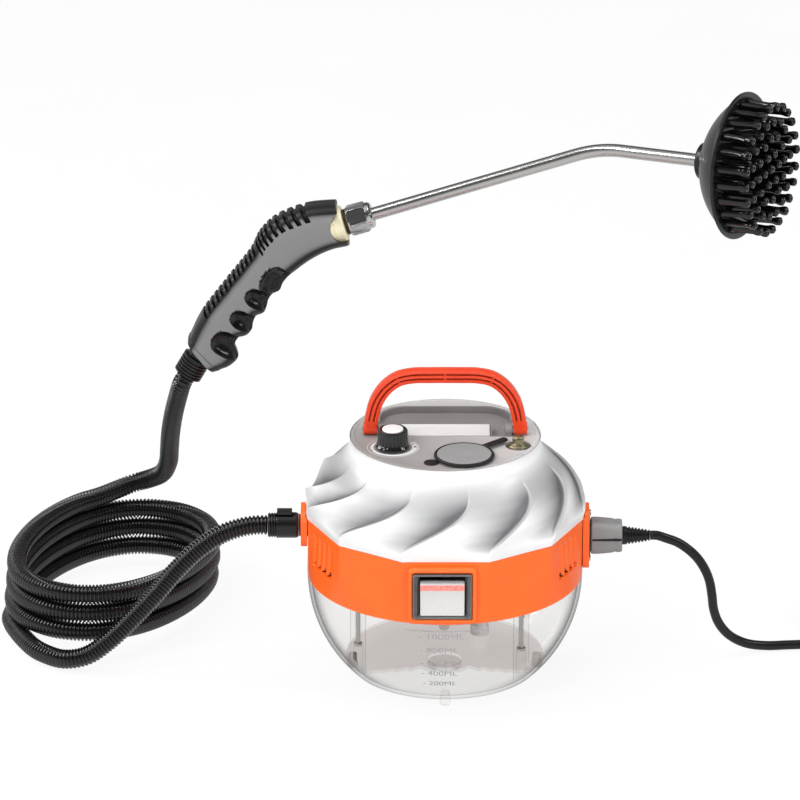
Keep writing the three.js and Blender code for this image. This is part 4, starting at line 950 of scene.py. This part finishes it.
def rocker():
    """The rocker, with its face dished between the two ends, and a lamp window along the top."""
    side = [
        (-15.2, 15.2), (-14.9, 12.8), (-14.3, 9.0), (-13.9, 4.5), (-13.8, 0), (-13.9, -4.5), (-14.3, -9), (-14.9, -13),
        (-15.2, -15.2), (-8, -14.6), (4, -8), (7, 0), (4, 8), (-8, 14.6),
    ]
    c, s = math.cos(rad(10)), math.sin(rad(10))
    sections = []
    for x, inset in ((-18.3, 0.8), (-17.9, 0.2), (-17.2, 0), (17.2, 0), (17.9, 0.2), (18.3, 0.8)):
        row = []
        for y, z in side:
            k = 1 - inset / 15
            y2, z2 = (y + 2) * k - 2, z * k
            row.append((SWITCH[0] + x, -102.6 + y2 * c - z2 * s, SWITCH[1] + y2 * s + z2 * c))
        sections.append(row)
    return grid_tube(sections)


verts, faces = rocker()
rocker_piece = new_object(
    "rocker", verts, faces, [MAT["white_plastic"], MAT["lamp_window"]], "rocker", 32, ("switch_rocker",), "white_plastic",
)
for p in rocker_piece.data.polygons:
    if p.center.z > (SWITCH[1] + 6.5) * MM and p.normal.y < -0.3:
        p.material_index = 1
bevel(rocker_piece, 0.35, 2, 40)

# ---- Clear tank with posts, feet and graduations ----------------------------------------------------------
TANK_RADIUS, TANK_CENTRE, TANK_WALL = 115, 89, 2.8
POST_RING, POST_ANGLES = 96, (41, 131, 221, 311)


def bowl_z(r, radius):
    return TANK_CENTRE - math.sqrt(max(radius * radius - r * r, 0))


def arc(radius, low, high, steps):
    a, b = math.asin((low - TANK_CENTRE) / radius), math.asin((high - TANK_CENTRE) / radius)
    return [(radius * math.cos(a + (b - a) * k / steps), TANK_CENTRE + radius * math.sin(a + (b - a) * k / steps)) for k in range(steps + 1)]


def tank():
    outer = arc(TANK_RADIUS, 5.2, 88.2, 40)
    inner = arc(TANK_RADIUS - TANK_WALL, 7.8, 88.2, 36)[::-1]
    spread = [7, 14, 25, 36, 47, 58, 68]
    below, above = [(r, 4.6) for r in spread], [(r, 7.4) for r in reversed(spread)]
    profile = [(0.01, 4.6), *below, (77.6, 4.75), *outer, *inner, (76.2, 7.45), *above, (0.01, 7.4)]
    return turned([*profile, profile[0]], n=160)


def post(angle):
    """A screw post: its foot follows the bowl, and it is bored from below."""
    cx, cy = POST_RING * math.cos(rad(angle)), POST_RING * math.sin(rad(angle))
    n = 40
    rings = []
    for r, z in ((6.5, None), (6.5, 60), (6.5, 88), (2.4, 88), (2.4, 51), (4.2, 50), (4.2, None)):
        ring = []
        for i in range(n):
            a = 2 * PI * i / n
            x, y = cx + r * math.cos(a), cy + r * math.sin(a)
            ring.append((x, y, z if z else bowl_z(math.hypot(x, y), TANK_RADIUS - 1.2)))
        rings.append(ring)
    return grid_loop(rings)


def foot(angle):
    at = (77.5 * math.cos(rad(angle)), 77.5 * math.sin(rad(angle)), 0)
    profile = [(0, 0), (2.6, 0), (3.6, 0.5), (4.3, 1.6), (4.5, 3.4), (4.1, 5.4), (3.6, 7), (3.6, 12), (0, 12)]
    return turned(profile, at, n=28)


centre_pad = turned([(0, 0.4), (13, 0.4), (13.8, 0.8), (14, 1.5), (14, 4.7), (0, 4.7)], n=48)
tank_parts = merged(tank(), centre_pad, *map(post, POST_ANGLES), *map(foot, (0, 90, 180, 270)))
tank_piece = new_object(
    "tank", *tank_parts, [MAT["clear_plastic"], MAT["far_wall_painted_reflection"], MAT["inner_tube"]], "base", 40, ("water_tank",), "clear_plastic",
)
for p in tank_piece.data.polygons:
    flat = p.center.xy.length
    if flat < 0.0142 and p.center.z < 0.0044:
        p.material_index = 2
    elif flat < 0.0142 and p.center.z > 0.006:
        p.material_index = 0
    # painted reflection: the lower back of the bowl takes the taupe tint
    elif p.center.y > -0.018 - 0.18 * max(flat - 0.03, 0) and p.center.z < 0.034 and flat < 0.083:
        p.material_index = 1


def wrapped_text(text, z, size, start):
    """Raised characters on the tank's outer face, at a height, starting at an arc distance from the front."""
    curve = bpy.data.curves.new(text, "FONT")
    curve.body, curve.size, curve.extrude, curve.resolution_u = text, size, 0.0, 3
    o = bpy.data.objects.new(text, curve)
    scene.collection.objects.link(o)
    dg = bpy.context.evaluated_depsgraph_get()
    mesh = bpy.data.meshes.new_from_object(o.evaluated_get(dg))
    flat = [tuple(v.co) for v in mesh.vertices]
    faces = [tuple(p.vertices) for p in mesh.polygons]
    bpy.data.objects.remove(o)
    verts = []
    for x, y, _ in flat:
        height = z + y
        r = math.sqrt(TANK_RADIUS**2 - (height - TANK_CENTRE) ** 2) + 0.25
        verts.append(polar(math.degrees((start + x * 1.2) / 100), r, height))
    return verts, faces


MARKS = [("- 1000ML", 74.9), ("- 800ML", 62.0), ("- 600ML", 48.6), ("- 400ML", 37.4), ("- 200ML", 25.6)]
marks = merged(*(wrapped_text(text, z, 7.2, -19.5) for text, z in MARKS))
# the moulded marks and step line on the clear wall are grey painted shade
new_object("graduations", *marks, MAT["mark_painted_shade"], "base", slot="clear_plastic")
step_line = [polar(-17 + 34 * k / 40, 115.35, 82.6) for k in range(41)]
verts, faces = sweep([Vector(p) for p in step_line], [(0.9 * k, 0.32) for k in range(75)], 8)
new_object("tank_step_line", verts, faces, MAT["mark_painted_shade"], "base", slot="clear_plastic")

# ---- Top panel, handle, knob, cap ------------------------------------------------------------------------
PANEL_Z = 211
bead = [(75.0, 210.8), (75.2, 211.15), (75.7, 211.35), (76.4, 211.35), (76.9, 211.15), (77.1, 210.8), (75.0, 210.8)]
new_object("panel_bead", *turned(bead, n=144), MAT["panel_plastic"], "base", slot="panel_plastic")

HANDLE_PIVOT, HANDLE_TOP = 216.8, 264.2
HANDLE_LINE = [(62.4, HANDLE_PIVOT), (60.8, 228), (57.2, 241), (49.6, 253), (39, 261), (27, 263.8), (12, HANDLE_TOP)]


def handle():
    """An arch of three ribs with two grooves each side. Webs cross the grooves at the crown and shoulders."""
    half = [Vector((x, 0, z)) for x, z in HANDLE_LINE]
    line = catmull([*half, *[Vector((-p.x, 0, p.z)) for p in reversed(half)]], 20)
    s, p = along_line(line)
    total = s[-1]
    webs = (0.5, 0.285, 0.715)
    count = 220
    stations = []
    for k in range(count + 1):
        stations.append(total * k / count)
    sections, flags = [], []
    for d in stations:
        c = [float(np.interp(d, s, p[:, k])) for k in (0, 2)]
        a = [float(np.interp(min(d + 1, total), s, p[:, k])) - float(np.interp(max(d - 1, 0), s, p[:, k])) for k in (0, 2)]
        n = math.hypot(*a)
        tx, tz = a[0] / n, a[1] / n
        open_here = min(abs(d / total - w) * total for w in webs)
        groove = 2.6 * smooth_step((open_here - 0.7) / 0.7) * smooth_step((min(d, total - d) - 7) / 2)
        half_w, half_d = 5.6, 5.2
        face = [
            (-half_w, -half_d + 1.2), (-half_w + 0.35, -half_d + 0.35), (-half_w + 1.2, -half_d), (-2.9, -half_d), (-2.6, -half_d + 0.3),
            (-2.45, -half_d + groove), (-1.35, -half_d + groove), (-1.2, -half_d + 0.3), (-0.9, -half_d),
            (0.9, -half_d), (1.2, -half_d + 0.3), (1.35, -half_d + groove), (2.45, -half_d + groove), (2.6, -half_d + 0.3), (2.9, -half_d),
            (half_w - 1.2, -half_d), (half_w - 0.35, -half_d + 0.35), (half_w, -half_d + 1.2),
        ]
        outline_ = face + [(-a_, -b_) for a_, b_ in face]
        sections.append([(c[0] - tz * across, deep, c[1] + tx * across) for across, deep in outline_])
        flags += [groove > 1 and i % len(face) in (4, 5, 6, 10, 11, 12) for i in range(len(outline_))]
    return *grid_tube(sections), flags


verts, faces, flags = handle()
handle_piece = new_object(
    "handle_arch", verts, faces, [MAT["handle_plastic"], MAT["handle_groove_shade"]], "handle", 42, ("carry_handle",), "handle_plastic",
)
# painted shade: faces in the grooves take the darker red
for p, in_groove in zip(handle_piece.data.polygons, flags, strict=False):
    p.material_index = int(in_groove)


def handle_foot(side):
    profile = rounded([(0, 56.8), (5.1, 56.8), (5.3, 57.2), (5.3, 67.6), (4.8, 68.2), (0, 68.2)], 0.5, 3)
    return turned(profile, (0, 0, HANDLE_PIVOT), (side, 0, 0), 48)


new_object("handle_feet", *merged(handle_foot(1), handle_foot(-1)), MAT["handle_plastic"], "handle", 40, slot="handle_plastic")

KNOB = (-43.6, -28.5)


def knob():
    """Fluted grip on a flared skirt, open at the top for its cap."""
    n = 144
    base = PANEL_Z + 0.6
    rows = [
        (3.4, base + 8, 0), (3.4, base, 0), (14.6, base, 0), (14.8, base + 0.4, 0), (14.8, base + 1.4, 0), (14.4, base + 2.1, 0), (13.2, base + 3.6, 0.2),
        (12.8, base + 4.6, 0.8), (12.5, base + 14, 1), (12.3, base + 15.2, 0.9), (11.6, base + 15.9, 0.5), (10.2, base + 16, 0.1), (9.4, base + 15.8, 0),
        (9.2, base + 14.5, 0), (3.4, base + 14.4, 0),
    ]
    rings = []
    for r, z, flute in rows:
        ring = []
        for i in range(n):
            a = 2 * PI * i / n
            cut = 0.95 * flute * (0.5 - 0.5 * math.cos(24 * a)) ** 2
            ring.append((KNOB[0] + (r - cut) * math.cos(a), KNOB[1] + (r - cut) * math.sin(a), z))
        rings.append(ring)
    return grid_loop(rings)


new_object("knob_grip", *knob(), MAT["knob_black"], "knob", 40, ("steam_knob",), "black_plastic")
cap_low = PANEL_Z + 0.6 + 16 - 1.3
knob_top = rounded([(0, cap_low), (8.7, cap_low), (8.8, cap_low + 0.3), (8.8, cap_low + 1.5), (8.2, cap_low + 2.2), (3, cap_low + 2.35), (0, cap_low + 2.3)], 0.4, 3)
new_object("knob_badge", *turned(knob_top, (KNOB[0], KNOB[1], 0), n=72), MAT["chrome_cap"], "knob", 40, ("knob_cap",), "chrome")


def dial():
    """Printed scale round the knob: a pale ring that widens along its sweep, and a thin pale ring beside it."""
    ring = []
    n = 96
    low, high = -1.35 * PI, 0.2 * PI
    verts, faces = [], []
    for inner, outer, z in ((16.2, 20.6, 211.1), (20.9, 21.8, 211.1)):
        k = len(verts)
        for i in range(n + 1):
            a = low + (high - low) * i / n
            grow = 0.35 + 0.65 * i / n
            r0 = inner if inner < 17 else inner
            r1 = r0 + (outer - r0) * grow
            for r in (r0, r1):
                verts.append((KNOB[0] + r * math.cos(a), KNOB[1] + r * math.sin(a), z))
        for i in range(n):
            faces.append((k + 2 * i, k + 2 * i + 1, k + 2 * i + 3, k + 2 * i + 2))
    ring.append((verts, faces))
    return verts, faces


new_object("knob_scale", *dial(), MAT["dial_print"], "base", slot="white_plastic")
dots = [turned([(0, 211.05), (r, 211.05), (r, 211.2), (0, 211.22)], (KNOB[0] + d * math.cos(a), KNOB[1] + d * math.sin(a), 0), n=20) for r, d, a in ((1.1, 18.6, 0.05), (0.7, 18.2, 0.42), (0.7, 18.2, -2.8))]
new_object("knob_scale_dots", *merged(*dots), MAT["black_plastic"], "base", 40, slot="black_plastic")

FILLER = (15.4, -50.5)
cap_z = PANEL_Z + 2.5


def along_tab(points, z):
    ax, ay = 0.727, 0.686
    return [(FILLER[0] + a * ax - b * ay, FILLER[1] + a * ay + b * ax, z) for a, b in points]


disc = turned(rounded([(0, cap_z), (22.3, cap_z), (22.6, cap_z + 0.3), (22.6, cap_z + 1.0), (22, cap_z + 1.5), (6, cap_z + 1.7), (0, cap_z + 1.7)], 0.3, 2), (*FILLER, 0), n=128)
new_object("cap_disc", *disc, MAT["grey_plastic"], "cap", 40, ("filler_cap",), "grey_plastic")


def rounded_bar(near, far, half, low, high, corner=1.2):
    sections = []
    for z, inset in ((low, 0.3), (low + 0.3, 0), (high - 0.4, 0), (high, 0.4)):
        w, h = far - near - 2 * inset, 2 * (half - inset)
        pts = [(a + (near + far) / 2, b) for a, b in rounded_box_section(w, h, min(corner, h / 2 - 0.05), 6)]
        sections.append(along_tab(pts, z))
    return grid_tube(sections)


new_object("cap_tab", *rounded_bar(23.1, 48, 2.9, cap_z - 0.1, cap_z + 2.0), MAT["black_rubber"], "cap", 40, slot="black_rubber")
rim_low = PANEL_Z + 1.5
seal_profile = rounded([(22.9, rim_low), (25, rim_low), (25, rim_low + 1.6), (24.2, rim_low + 2.4), (22.9, rim_low + 2.4), (22.9, rim_low)], 0.5, 3)
seal = merged(
    turned([(0, rim_low), (24.6, rim_low), (24.6, rim_low + 0.6), (0, rim_low + 0.6)], (*FILLER, 0), n=128),
    turned([*seal_profile[:-1], seal_profile[0]], (*FILLER, 0), n=128),
    turned([(13, PANEL_Z - 6), (15.1, PANEL_Z - 6), (15.1, rim_low), (13, rim_low), (13, PANEL_Z - 6)], (*FILLER, 0), n=64),
)
new_object("cap_rim", *seal, MAT["black_rubber"], "cap", 40, ("cap_seal",), "black_rubber")
tether = merged(
    turned(rounded([(0, 211.2), (6.2, 211.2), (6.2, 211.7), (5.6, 212), (3.8, 212.1), (0, 212.2)], 0.2, 2), (-11.8, -62.2, 0), n=56),
    turned([(0, 204), (2.3, 204), (2.3, 211.2), (0, 211.2)], (-11.8, -62.2, 0), n=32),
)
new_object("tether_stud", *tether, MAT["black_rubber"], "base", 40, ("cap_tether",), "black_rubber")
VALVE = (60.4, -25.2)
valve = turned(
    rounded([(0, 197), (4.7, 197), (4.7, 211.3), (8.5, 211.3), (8.5, 212.0), (7.4, 212.9), (6.4, 213), (5.9, 214.2), (4.9, 214.3), (4.9, 218), (4.2, 219.4), (2.8, 220.4), (0, 220.5)], 0.4, 3),
    (*VALVE, 0), n=64,
)
new_object("relief_valve", *valve, MAT["valve_brass"], "base", 35, ("safety_valve",), "brass")
valve_ring = turned([(8.7, 211.05), (10.6, 211.05), (10.6, 211.35), (10.2, 211.6), (8.7, 211.6), (8.7, 211.05)], (*VALVE, 0), n=64)
new_object("valve_washer", *valve_ring, MAT["steel"], "base", 40, slot="steel")


def label():
    """Blank rating plate with an embossed rule and plain cells."""
    parts = [block(-36.1, 36.9, -3.8, 20.2, 211.3, 212.0)]
    parts.append(block(-33.6, 34.4, 17.4, 17.9, 212.0, 212.12))
    for k in range(3):
        parts.append(block(-33.6 + 24 * k, -33.6 + 24 * k + 20, 5.2, 13.2, 212.0, 212.12))
    for k in range(2):
        parts.append(block(-33.6, 34.4, 0.2 + 2.0 * k - 2.2, 0.55 + 2.0 * k - 2.2, 212.0, 212.1))
    return merged(*parts)


bevel(new_object("rating_plate", *label(), MAT["label_white"], "base", 30, ("label_plate",), "white_plastic"), 0.1)

# ---- Hose connector --------------------------------------------------------------------------------------
OUTLET_Z = 129.3
profile = [(0, -148)]
x = -147.4
profile += [(9.3, -148), (9.8, x)]
while x < -142.5:
    profile += [(10.3, x + 0.4), (10.3, x + 1.4), (9.5, x + 1.6), (9.5, x + 2.0)]
    x += 2.2
profile += [(10.6, -140.9), (10.8, -140.2), (10.8, -124.6), (10.3, -123.4), (9.9, -122.6), (9.9, -122.3), (0, -122.3)]
hose_end = new_object("hose_end", *turned(rounded(profile, 0.3, 2), (0, 0, OUTLET_Z), (1, 0, 0), 72), MAT["black_plastic"], "base", 40, ("hose_connector",), "black_plastic")
latch_pocket = cutter(*block(-141.2, -126.9, -5.3, 5.3, OUTLET_Z + 6.4, OUTLET_Z + 20))
carve(hose_end, [latch_pocket])
bpy.data.objects.remove(latch_pocket)
shade(hose_end, 35)
latch = merged(block(-140.3, -127.7, -4.4, 4.4, OUTLET_Z + 10.9, OUTLET_Z + 13.5), *(block(x, x + 1, -3.6, 3.6, OUTLET_Z + 13.5, OUTLET_Z + 13.9) for x in (-138.6, -136.4, -134.2, -132)))
bevel(new_object("release_latch", *latch, MAT["black_plastic"], "latch", 30, ("connector_latch",), "black_plastic"), 0.35)

# ---- Gun -------------------------------------------------------------------------------------------------
GUN_Y = 110
OUTLET = Vector((-92.1, GUN_Y, 355.6))
OUTLET_DIR = Vector((math.cos(0.301), 0, math.sin(0.301)))
CUFF_BASE = Vector((-206.4, GUN_Y, 240))
CUFF_DIR = Vector((math.cos(1.047), 0, math.sin(1.047)))
HALF_WIDTH = 17
# Back edge and front edge of the grip at each station, from the hose end to the nose: x, z, x, z.
GRIP = [
    (-216.1, 252, -194.8, 225.8), (-212.7, 260.5, -181.2, 230.5), (-209.2, 268.5, -174.1, 238), (-205.2, 276, -175, 243.5),
    (-201.7, 282, -176.8, 249.5), (-197.7, 287.5, -173.2, 256), (-193.7, 293, -166.2, 258.6), (-189.7, 298.3, -162.2, 263.6),
    (-185.7, 303.5, -161.2, 269.6), (-181.7, 309, -158.2, 275.8), (-177.7, 314, -152, 278.8), (-173.7, 319.3, -149.7, 284),
    (-170, 324, -148.2, 290), (-166.2, 329, -144.8, 295), (-162.7, 334, -138.8, 298.4), (-160, 339.5, -136.2, 304.5),
    (-156.7, 347, -132.2, 310), (-151.2, 354.5, -124.2, 317), (-142.2, 362.5, -114.2, 324.8), (-129.2, 369, -103.2, 331.4),
    (-114.2, 373.6, -92.2, 336), (-99.2, 375.3, -81.2, 338.6), (-91.7, 375.6, -79.7, 339.5),
]
SCALLOPS = (  # middle x, z on the side face, half length along the edge, half width
    (-145.5, 311.5, 14, 8.0), (-158.5, 295.1, 8.4, 9.6), (-171, 275.6, 8.4, 9.8), (-186.1, 255, 10.8, 10.5),
)
EDGE_ALONG = Vector((0.55, 0, 0.835)).normalized()
UPPER_SLOTS, LOWER_SLOTS = (15.3, 19.9, 9), (3.4, 15.0, 13)  # first and last station, how many


def grip_lines():
    back = catmull([Vector((a, GUN_Y, b)) for a, b, _, _ in GRIP], 30)
    front = catmull([Vector((c, GUN_Y, d)) for _, _, c, d in GRIP], 30)
    return back, front


def slot_share(station, reach):
    """1 inside a slot across the back edge, 0 outside."""
    for (low, high, count), longest, half in ((UPPER_SLOTS, 10.4, 0.46), (LOWER_SLOTS, 4.4, 0.5)):
        if low <= station <= high:
            k = (station - low) * count / (high - low)
            across = abs(k - math.floor(k) - 0.5) * 2
            return smooth_step((half - across) / 0.16 + 0.5) * smooth_step((longest - reach) / 0.8)
    return 0.0


def scallop_depth(p):
    """How far a finger's hollow sinks the side face at a point."""
    deep = 0.0
    for x, z, length, width in SCALLOPS:
        d = Vector((p.x - x, 0, p.z - z))
        a = d.dot(EDGE_ALONG) / length
        b = d.dot(Vector((EDGE_ALONG.z, 0, -EDGE_ALONG.x))) / width
        b = b if b < 0 else b * 0.25  # the hollow runs out over the front edge
        share = 1 - a * a - b * b
        if share > 0:
            deep = max(deep, 9.5 * share**0.7)
    return deep


def grip_half(side):
    """One half shell of the grip as a solid, flat on the joint plane."""
    back, front = grip_lines()
    count = 620
    n = 84
    sections, dark, hollows = [], [], []
    for k in range(count + 1):
        at = (len(back) - 1) * k / count
        i = min(int(at), len(back) - 2)
        b = back[i].lerp(back[i + 1], at - i)
        f = front[i].lerp(front[i + 1], at - i)
        station = at / 30
        middle, across = (b + f) / 2, (b - f) / 2
        width = across.length
        u = across / width
        lip = 1 + 0.035 * (1 - smooth_step((station - 0.35) / 0.12))
        row, marks = [], []
        for j in range(n + 1):
            a = PI * j / n
            c, s = math.cos(a), math.sin(a)
            along = math.copysign(abs(c) ** 0.7, c)
            out = s ** (0.42 + 0.42 * smooth_step(-along * 1.25))
            p = middle + u * (along * width * lip) + Vector((0, side * HALF_WIDTH * out * (0.97 if station > 0.4 else 1.0), 0))
            inward = -(u * along * 1.2 + Vector((0, side * out, 0)))
            reach = width * (1 - along)
            share = slot_share(station, reach) if out > 0.2 else 0.0
            p = p + inward.normalized() * (3.4 * share)
            sunk = scallop_depth(p)
            if sunk > 0 and along < 0.5:
                half = max(abs(p.y - GUN_Y) - sunk, min(abs(p.y - GUN_Y), 3.5))
                p.y = GUN_Y + side * half
            p.y = max(p.y, GUN_Y + 0.15) if side > 0 else min(p.y, GUN_Y - 0.15)
            row.append(tuple(p))
            marks.append(share > 0.35)
            # painted shade along the nose's curved underside, carried with the finger hollows in the hollow attribute
            painted_underside_shade = smooth_step((-along - 0.62) / 0.22) * smooth_step((station - 14) / 1.5)
            hollows.append(max(smooth_step((sunk - 0.6) / 2.4) if along < 0.6 else 0.0, painted_underside_shade))
        sections.append(row)
        dark.append(marks)
    verts, faces = grid_tube(sections)
    flags = []
    for face in faces:
        found = [dark[i // (n + 1)][i % (n + 1)] for i in face] if len(face) == 4 else [False]
        flags.append(sum(found) >= 2)
    return verts, faces, flags, hollows


nose_cuts = [
    cutter(*turned([(0, -30), (15.4, -30), (15.4, 30), (0, 30)], OUTLET + OUTLET_DIR * 11.6, (0, 1, 0), 72)),
    cutter(*turned([(0, -5.6), (15.9, -5.6), (15.9, 30), (0, 30)], OUTLET, OUTLET_DIR, 64)),
    cutter(*turned([(0, -13), (11.7, -13), (11.7, 0), (0, 0)], OUTLET, OUTLET_DIR, 48)),
    cutter(*turned([(0, -30), (12.5, -30), (12.5, -2.7), (0, -2.7)], CUFF_BASE, CUFF_DIR, 48)),
    cutter(*turned([(0, -4), (9.7, -4), (9.7, 12), (0, 12)], CUFF_BASE, CUFF_DIR, 48)),
]
for side, name, node in ((-1, "grip_front", "gun_shell_front"), (1, "grip_back", "gun_shell_back")):
    verts, faces, flags, hollows = grip_half(side)
    shell = new_object(name, verts, faces, [MAT["gun_plastic"], MAT["slot_black_and_vent_shade"]], "gun", None, (node,), "gun_plastic")
    # the hollow attribute holds painted shade for the finger hollows and the underside
    shade_of = shell.data.attributes.new("hollow", "FLOAT", "POINT")
    for entry, value in zip(shade_of.data, hollows, strict=True):
        entry.value = value
    for face, slot_here in zip(shell.data.polygons, flags, strict=True):
        face.material_index = int(slot_here)
    carve(shell, nose_cuts)
    shade(shell, 40)
for c in nose_cuts:
    bpy.data.objects.remove(c)

collar_profile = [
    (0, -8.8), (11.2, -8.8), (11.2, -5.2), (15.2, -5), (15.6, -4.4), (15.6, -1), (15.2, -0.6), (15.2, 0.2), (15.6, 0.6), (15.6, 6.4),
    (15.2, 7), (14.4, 8.5), (11.1, 8.8), (11, 11), (9, 11.2),
]
t = 11.4
while t < 16.6:
    collar_profile += [(9, t), (8.4, t + 0.5)]
    t += 1.0
collar_profile += [(8.2, 17), (0, 17)]
verts, faces = turned(collar_profile, OUTLET, OUTLET_DIR, 96)
collar = new_object("collar", verts, faces, [MAT["brass"], MAT["collar_painted_shadow"]], "gun", 35, ("outlet_collar",), "brass")
# painted shadow: the collar's neck past 8.7 mm takes the dark brown
for p in collar.data.polygons:
    if (p.center / MM - OUTLET).dot(OUTLET_DIR) > 8.7:
        p.material_index = 1


def hex_nut():
    """Union nut: six flats rounded off towards both ends."""
    n = 180
    side, up = axes_of(OUTLET_DIR)
    rings = []
    rows = [(9.5, 23), (9.5, 11.6), (10.6, 11.6), (11.6, 11.7), (13.5, 13.4), (13.5, 26.4), (12.6, 28.2), (11.4, 28.6), (11.2, 29.6), (11.2, 31.6), (9.6, 33.2), (6.1, 33.3), (6.1, 23)]
    for limit, t in rows:
        ring = []
        for i in range(n):
            a = 2 * PI * i / n
            k = (a % (PI / 3)) - PI / 6
            flat = 11.6 / math.cos(k)
            r = min(limit, flat)
            ring.append(tuple(OUTLET + OUTLET_DIR * t + side * (r * math.cos(a)) + up * (r * math.sin(a))))
        rings.append(ring)
    return grid_loop(rings)


bevel(new_object("union_nut", *hex_nut(), MAT["chrome"], "nut", 25, ("lance_nut",), "chrome"), 0.2, 2, 25)

cuff_profile = [(0, -22), (10.2, -22), (11, -21.6)]
t = -21.2
while t < -6:
    cuff_profile += [(12.2, t), (12.2, t + 1.6), (10.6, t + 1.9), (10.6, t + 2.5)]
    t += 2.9
cuff_profile += [(12.2, -5.6), (12.2, -4), (9.4, -3.2), (9.4, 8), (0, 8)]
new_object("cuff_ribs", *turned(cuff_profile, CUFF_BASE, CUFF_DIR, 64), MAT["black_plastic"], "base", 35, ("hose_cuff",), "black_plastic")

BEND = OUTLET + OUTLET_DIR * 231
END_DIR = Vector((0.895, -0.443, 0.044)).normalized()
HUB = BEND + END_DIR * 92.5


def lance_tube():
    a, b = BEND - OUTLET_DIR * 21, BEND + END_DIR * 21
    line = [OUTLET + OUTLET_DIR * 17.5]
    line += [OUTLET + OUTLET_DIR * (17.5 + (210 - 17.5) * k / 40) for k in range(1, 40)]
    for k in range(25):
        t = k / 24
        line.append(a * (1 - t) ** 2 + BEND * (2 * t * (1 - t)) + b * t * t)
    line += [BEND + END_DIR * (21 + (98 - 21) * k / 20) for k in range(1, 21)]
    total = length_of(line)
    stations = [(0, 8.2), (0.3, 8.4), (5.4, 8.4), (5.7, 8.2), (5.75, 5.5)]
    stations += [(6 + (total - 6) * k / 150, 5.5) for k in range(1, 151)]
    return sweep(line, stations, 40)


new_object("lance_pipe", *lance_tube(), MAT["polished_steel"], "lance", 40, ("lance",), "polished_steel")

# ---- Brush -----------------------------------------------------------------------------------------------
CUP_START, CUP_DEPTH, CUP_RADIUS = 5.6, 33, 71
FACE = CUP_START + CUP_DEPTH
BRISTLE = 28


def cap_arc(radius, centre, low, high, steps):
    out = []
    for k in range(steps + 1):
        t = low + (high - low) * k / steps
        out.append((math.sqrt(radius**2 - (centre - t) ** 2), t))
    return out


centre = CUP_START + CUP_RADIUS
cup_profile = [
    (5.9, 0.4), (6.3, 0), (12.8, 0), (13.4, 0.3), (15, 1.5), (15.4, 2.6), (15.6, 5.4), (16.4, 7.0),
    *cap_arc(CUP_RADIUS, centre, CUP_START + 2.4, FACE - 3.4, 26), (60.4, FACE - 3.2), (61.3, FACE - 2.6), (61.5, FACE - 1.6), (61.2, FACE - 0.4), (60.2, FACE),
    (58.6, FACE), *cap_arc(CUP_RADIUS - 3, centre, CUP_START + 5, FACE - 0.6, 14)[::-1], (5.9, CUP_START + 5), (5.9, 0.4),
]
new_object("brush_bell", *turned(cup_profile, HUB, END_DIR, 144), MAT["brush_black"], "brush", 38, ("brush_cup",), "gun_plastic")


def bristles():
    """Rings of flexible fingers, waisted below a blunt pierced tip, each leaning a little its own way."""
    rng = np.random.default_rng(7)
    side, up = axes_of(END_DIR)
    n = 12
    shape = [(3.5, -3), (3.3, 1), (3.0, 6), (2.7, 13), (2.6, 19), (2.9, 21.5), (3.4, 23), (3.6, 24.5), (3.5, BRISTLE - 1.2), (3.0, BRISTLE - 0.4), (2.4, BRISTLE), (1.3, BRISTLE), (1.1, BRISTLE - 2.2)]
    parts = [turned([(0, FACE - 6), (54, FACE - 6), (57, FACE - 1.6), (56, FACE - 1.2), (0, FACE - 1.2)], HUB, END_DIR, 96)]
    for r, count in ((0, 1), (13.4, 6), (26.6, 12), (39.8, 18), (52.4, 24)):
        for i in range(count):
            a = 2 * PI * i / count
            lean = rng.normal(0, 0.018, 2)
            short = rng.uniform(-0.6, 0.0)
            turn = rng.uniform(0, 1)
            centre_ = HUB + side * (r * math.cos(a)) + up * (r * math.sin(a))
            rings = []
            for w, t in shape:
                h = t + (short if t > 0 else 0)
                c = centre_ + END_DIR * (FACE + h) + side * (lean[0] * max(h, 0)) + up * (lean[1] * max(h, 0))
                ring = []
                for k in range(n):
                    b = 2 * PI * k / n + turn
                    q = w * (1 + 0.06 * math.cos(4 * (b - turn)))
                    ring.append(tuple(c + side * (q * math.cos(b)) + up * (q * math.sin(b))))
                rings.append(ring)
            parts.append(grid_tube(rings))
    return merged(*parts)


new_object("brush_fingers", *bristles(), MAT["bristle_nylon"], "brush", 40, ("bristle_pad",), "bristle_nylon")

# ---- Finish of the CAD nodes that stay -----------------------------------------------------------------
slots = {s["node"]: s["material_slot"] for s in frame["record"]["subparts"]}
for name, node in nodes.items():
    node.data.materials.clear()
    node.data.materials.append(MAT[slots[name]])
    weld = node.modifiers.new("weld", "WELD")
    weld.merge_threshold = 0.00002
    bevel(node, 0.3, 2, 32)
    for p in node.data.polygons:
        p.use_smooth = True
    smooth = node.modifiers.new("smooth", "WEIGHTED_NORMAL")
    smooth.keep_sharp = True
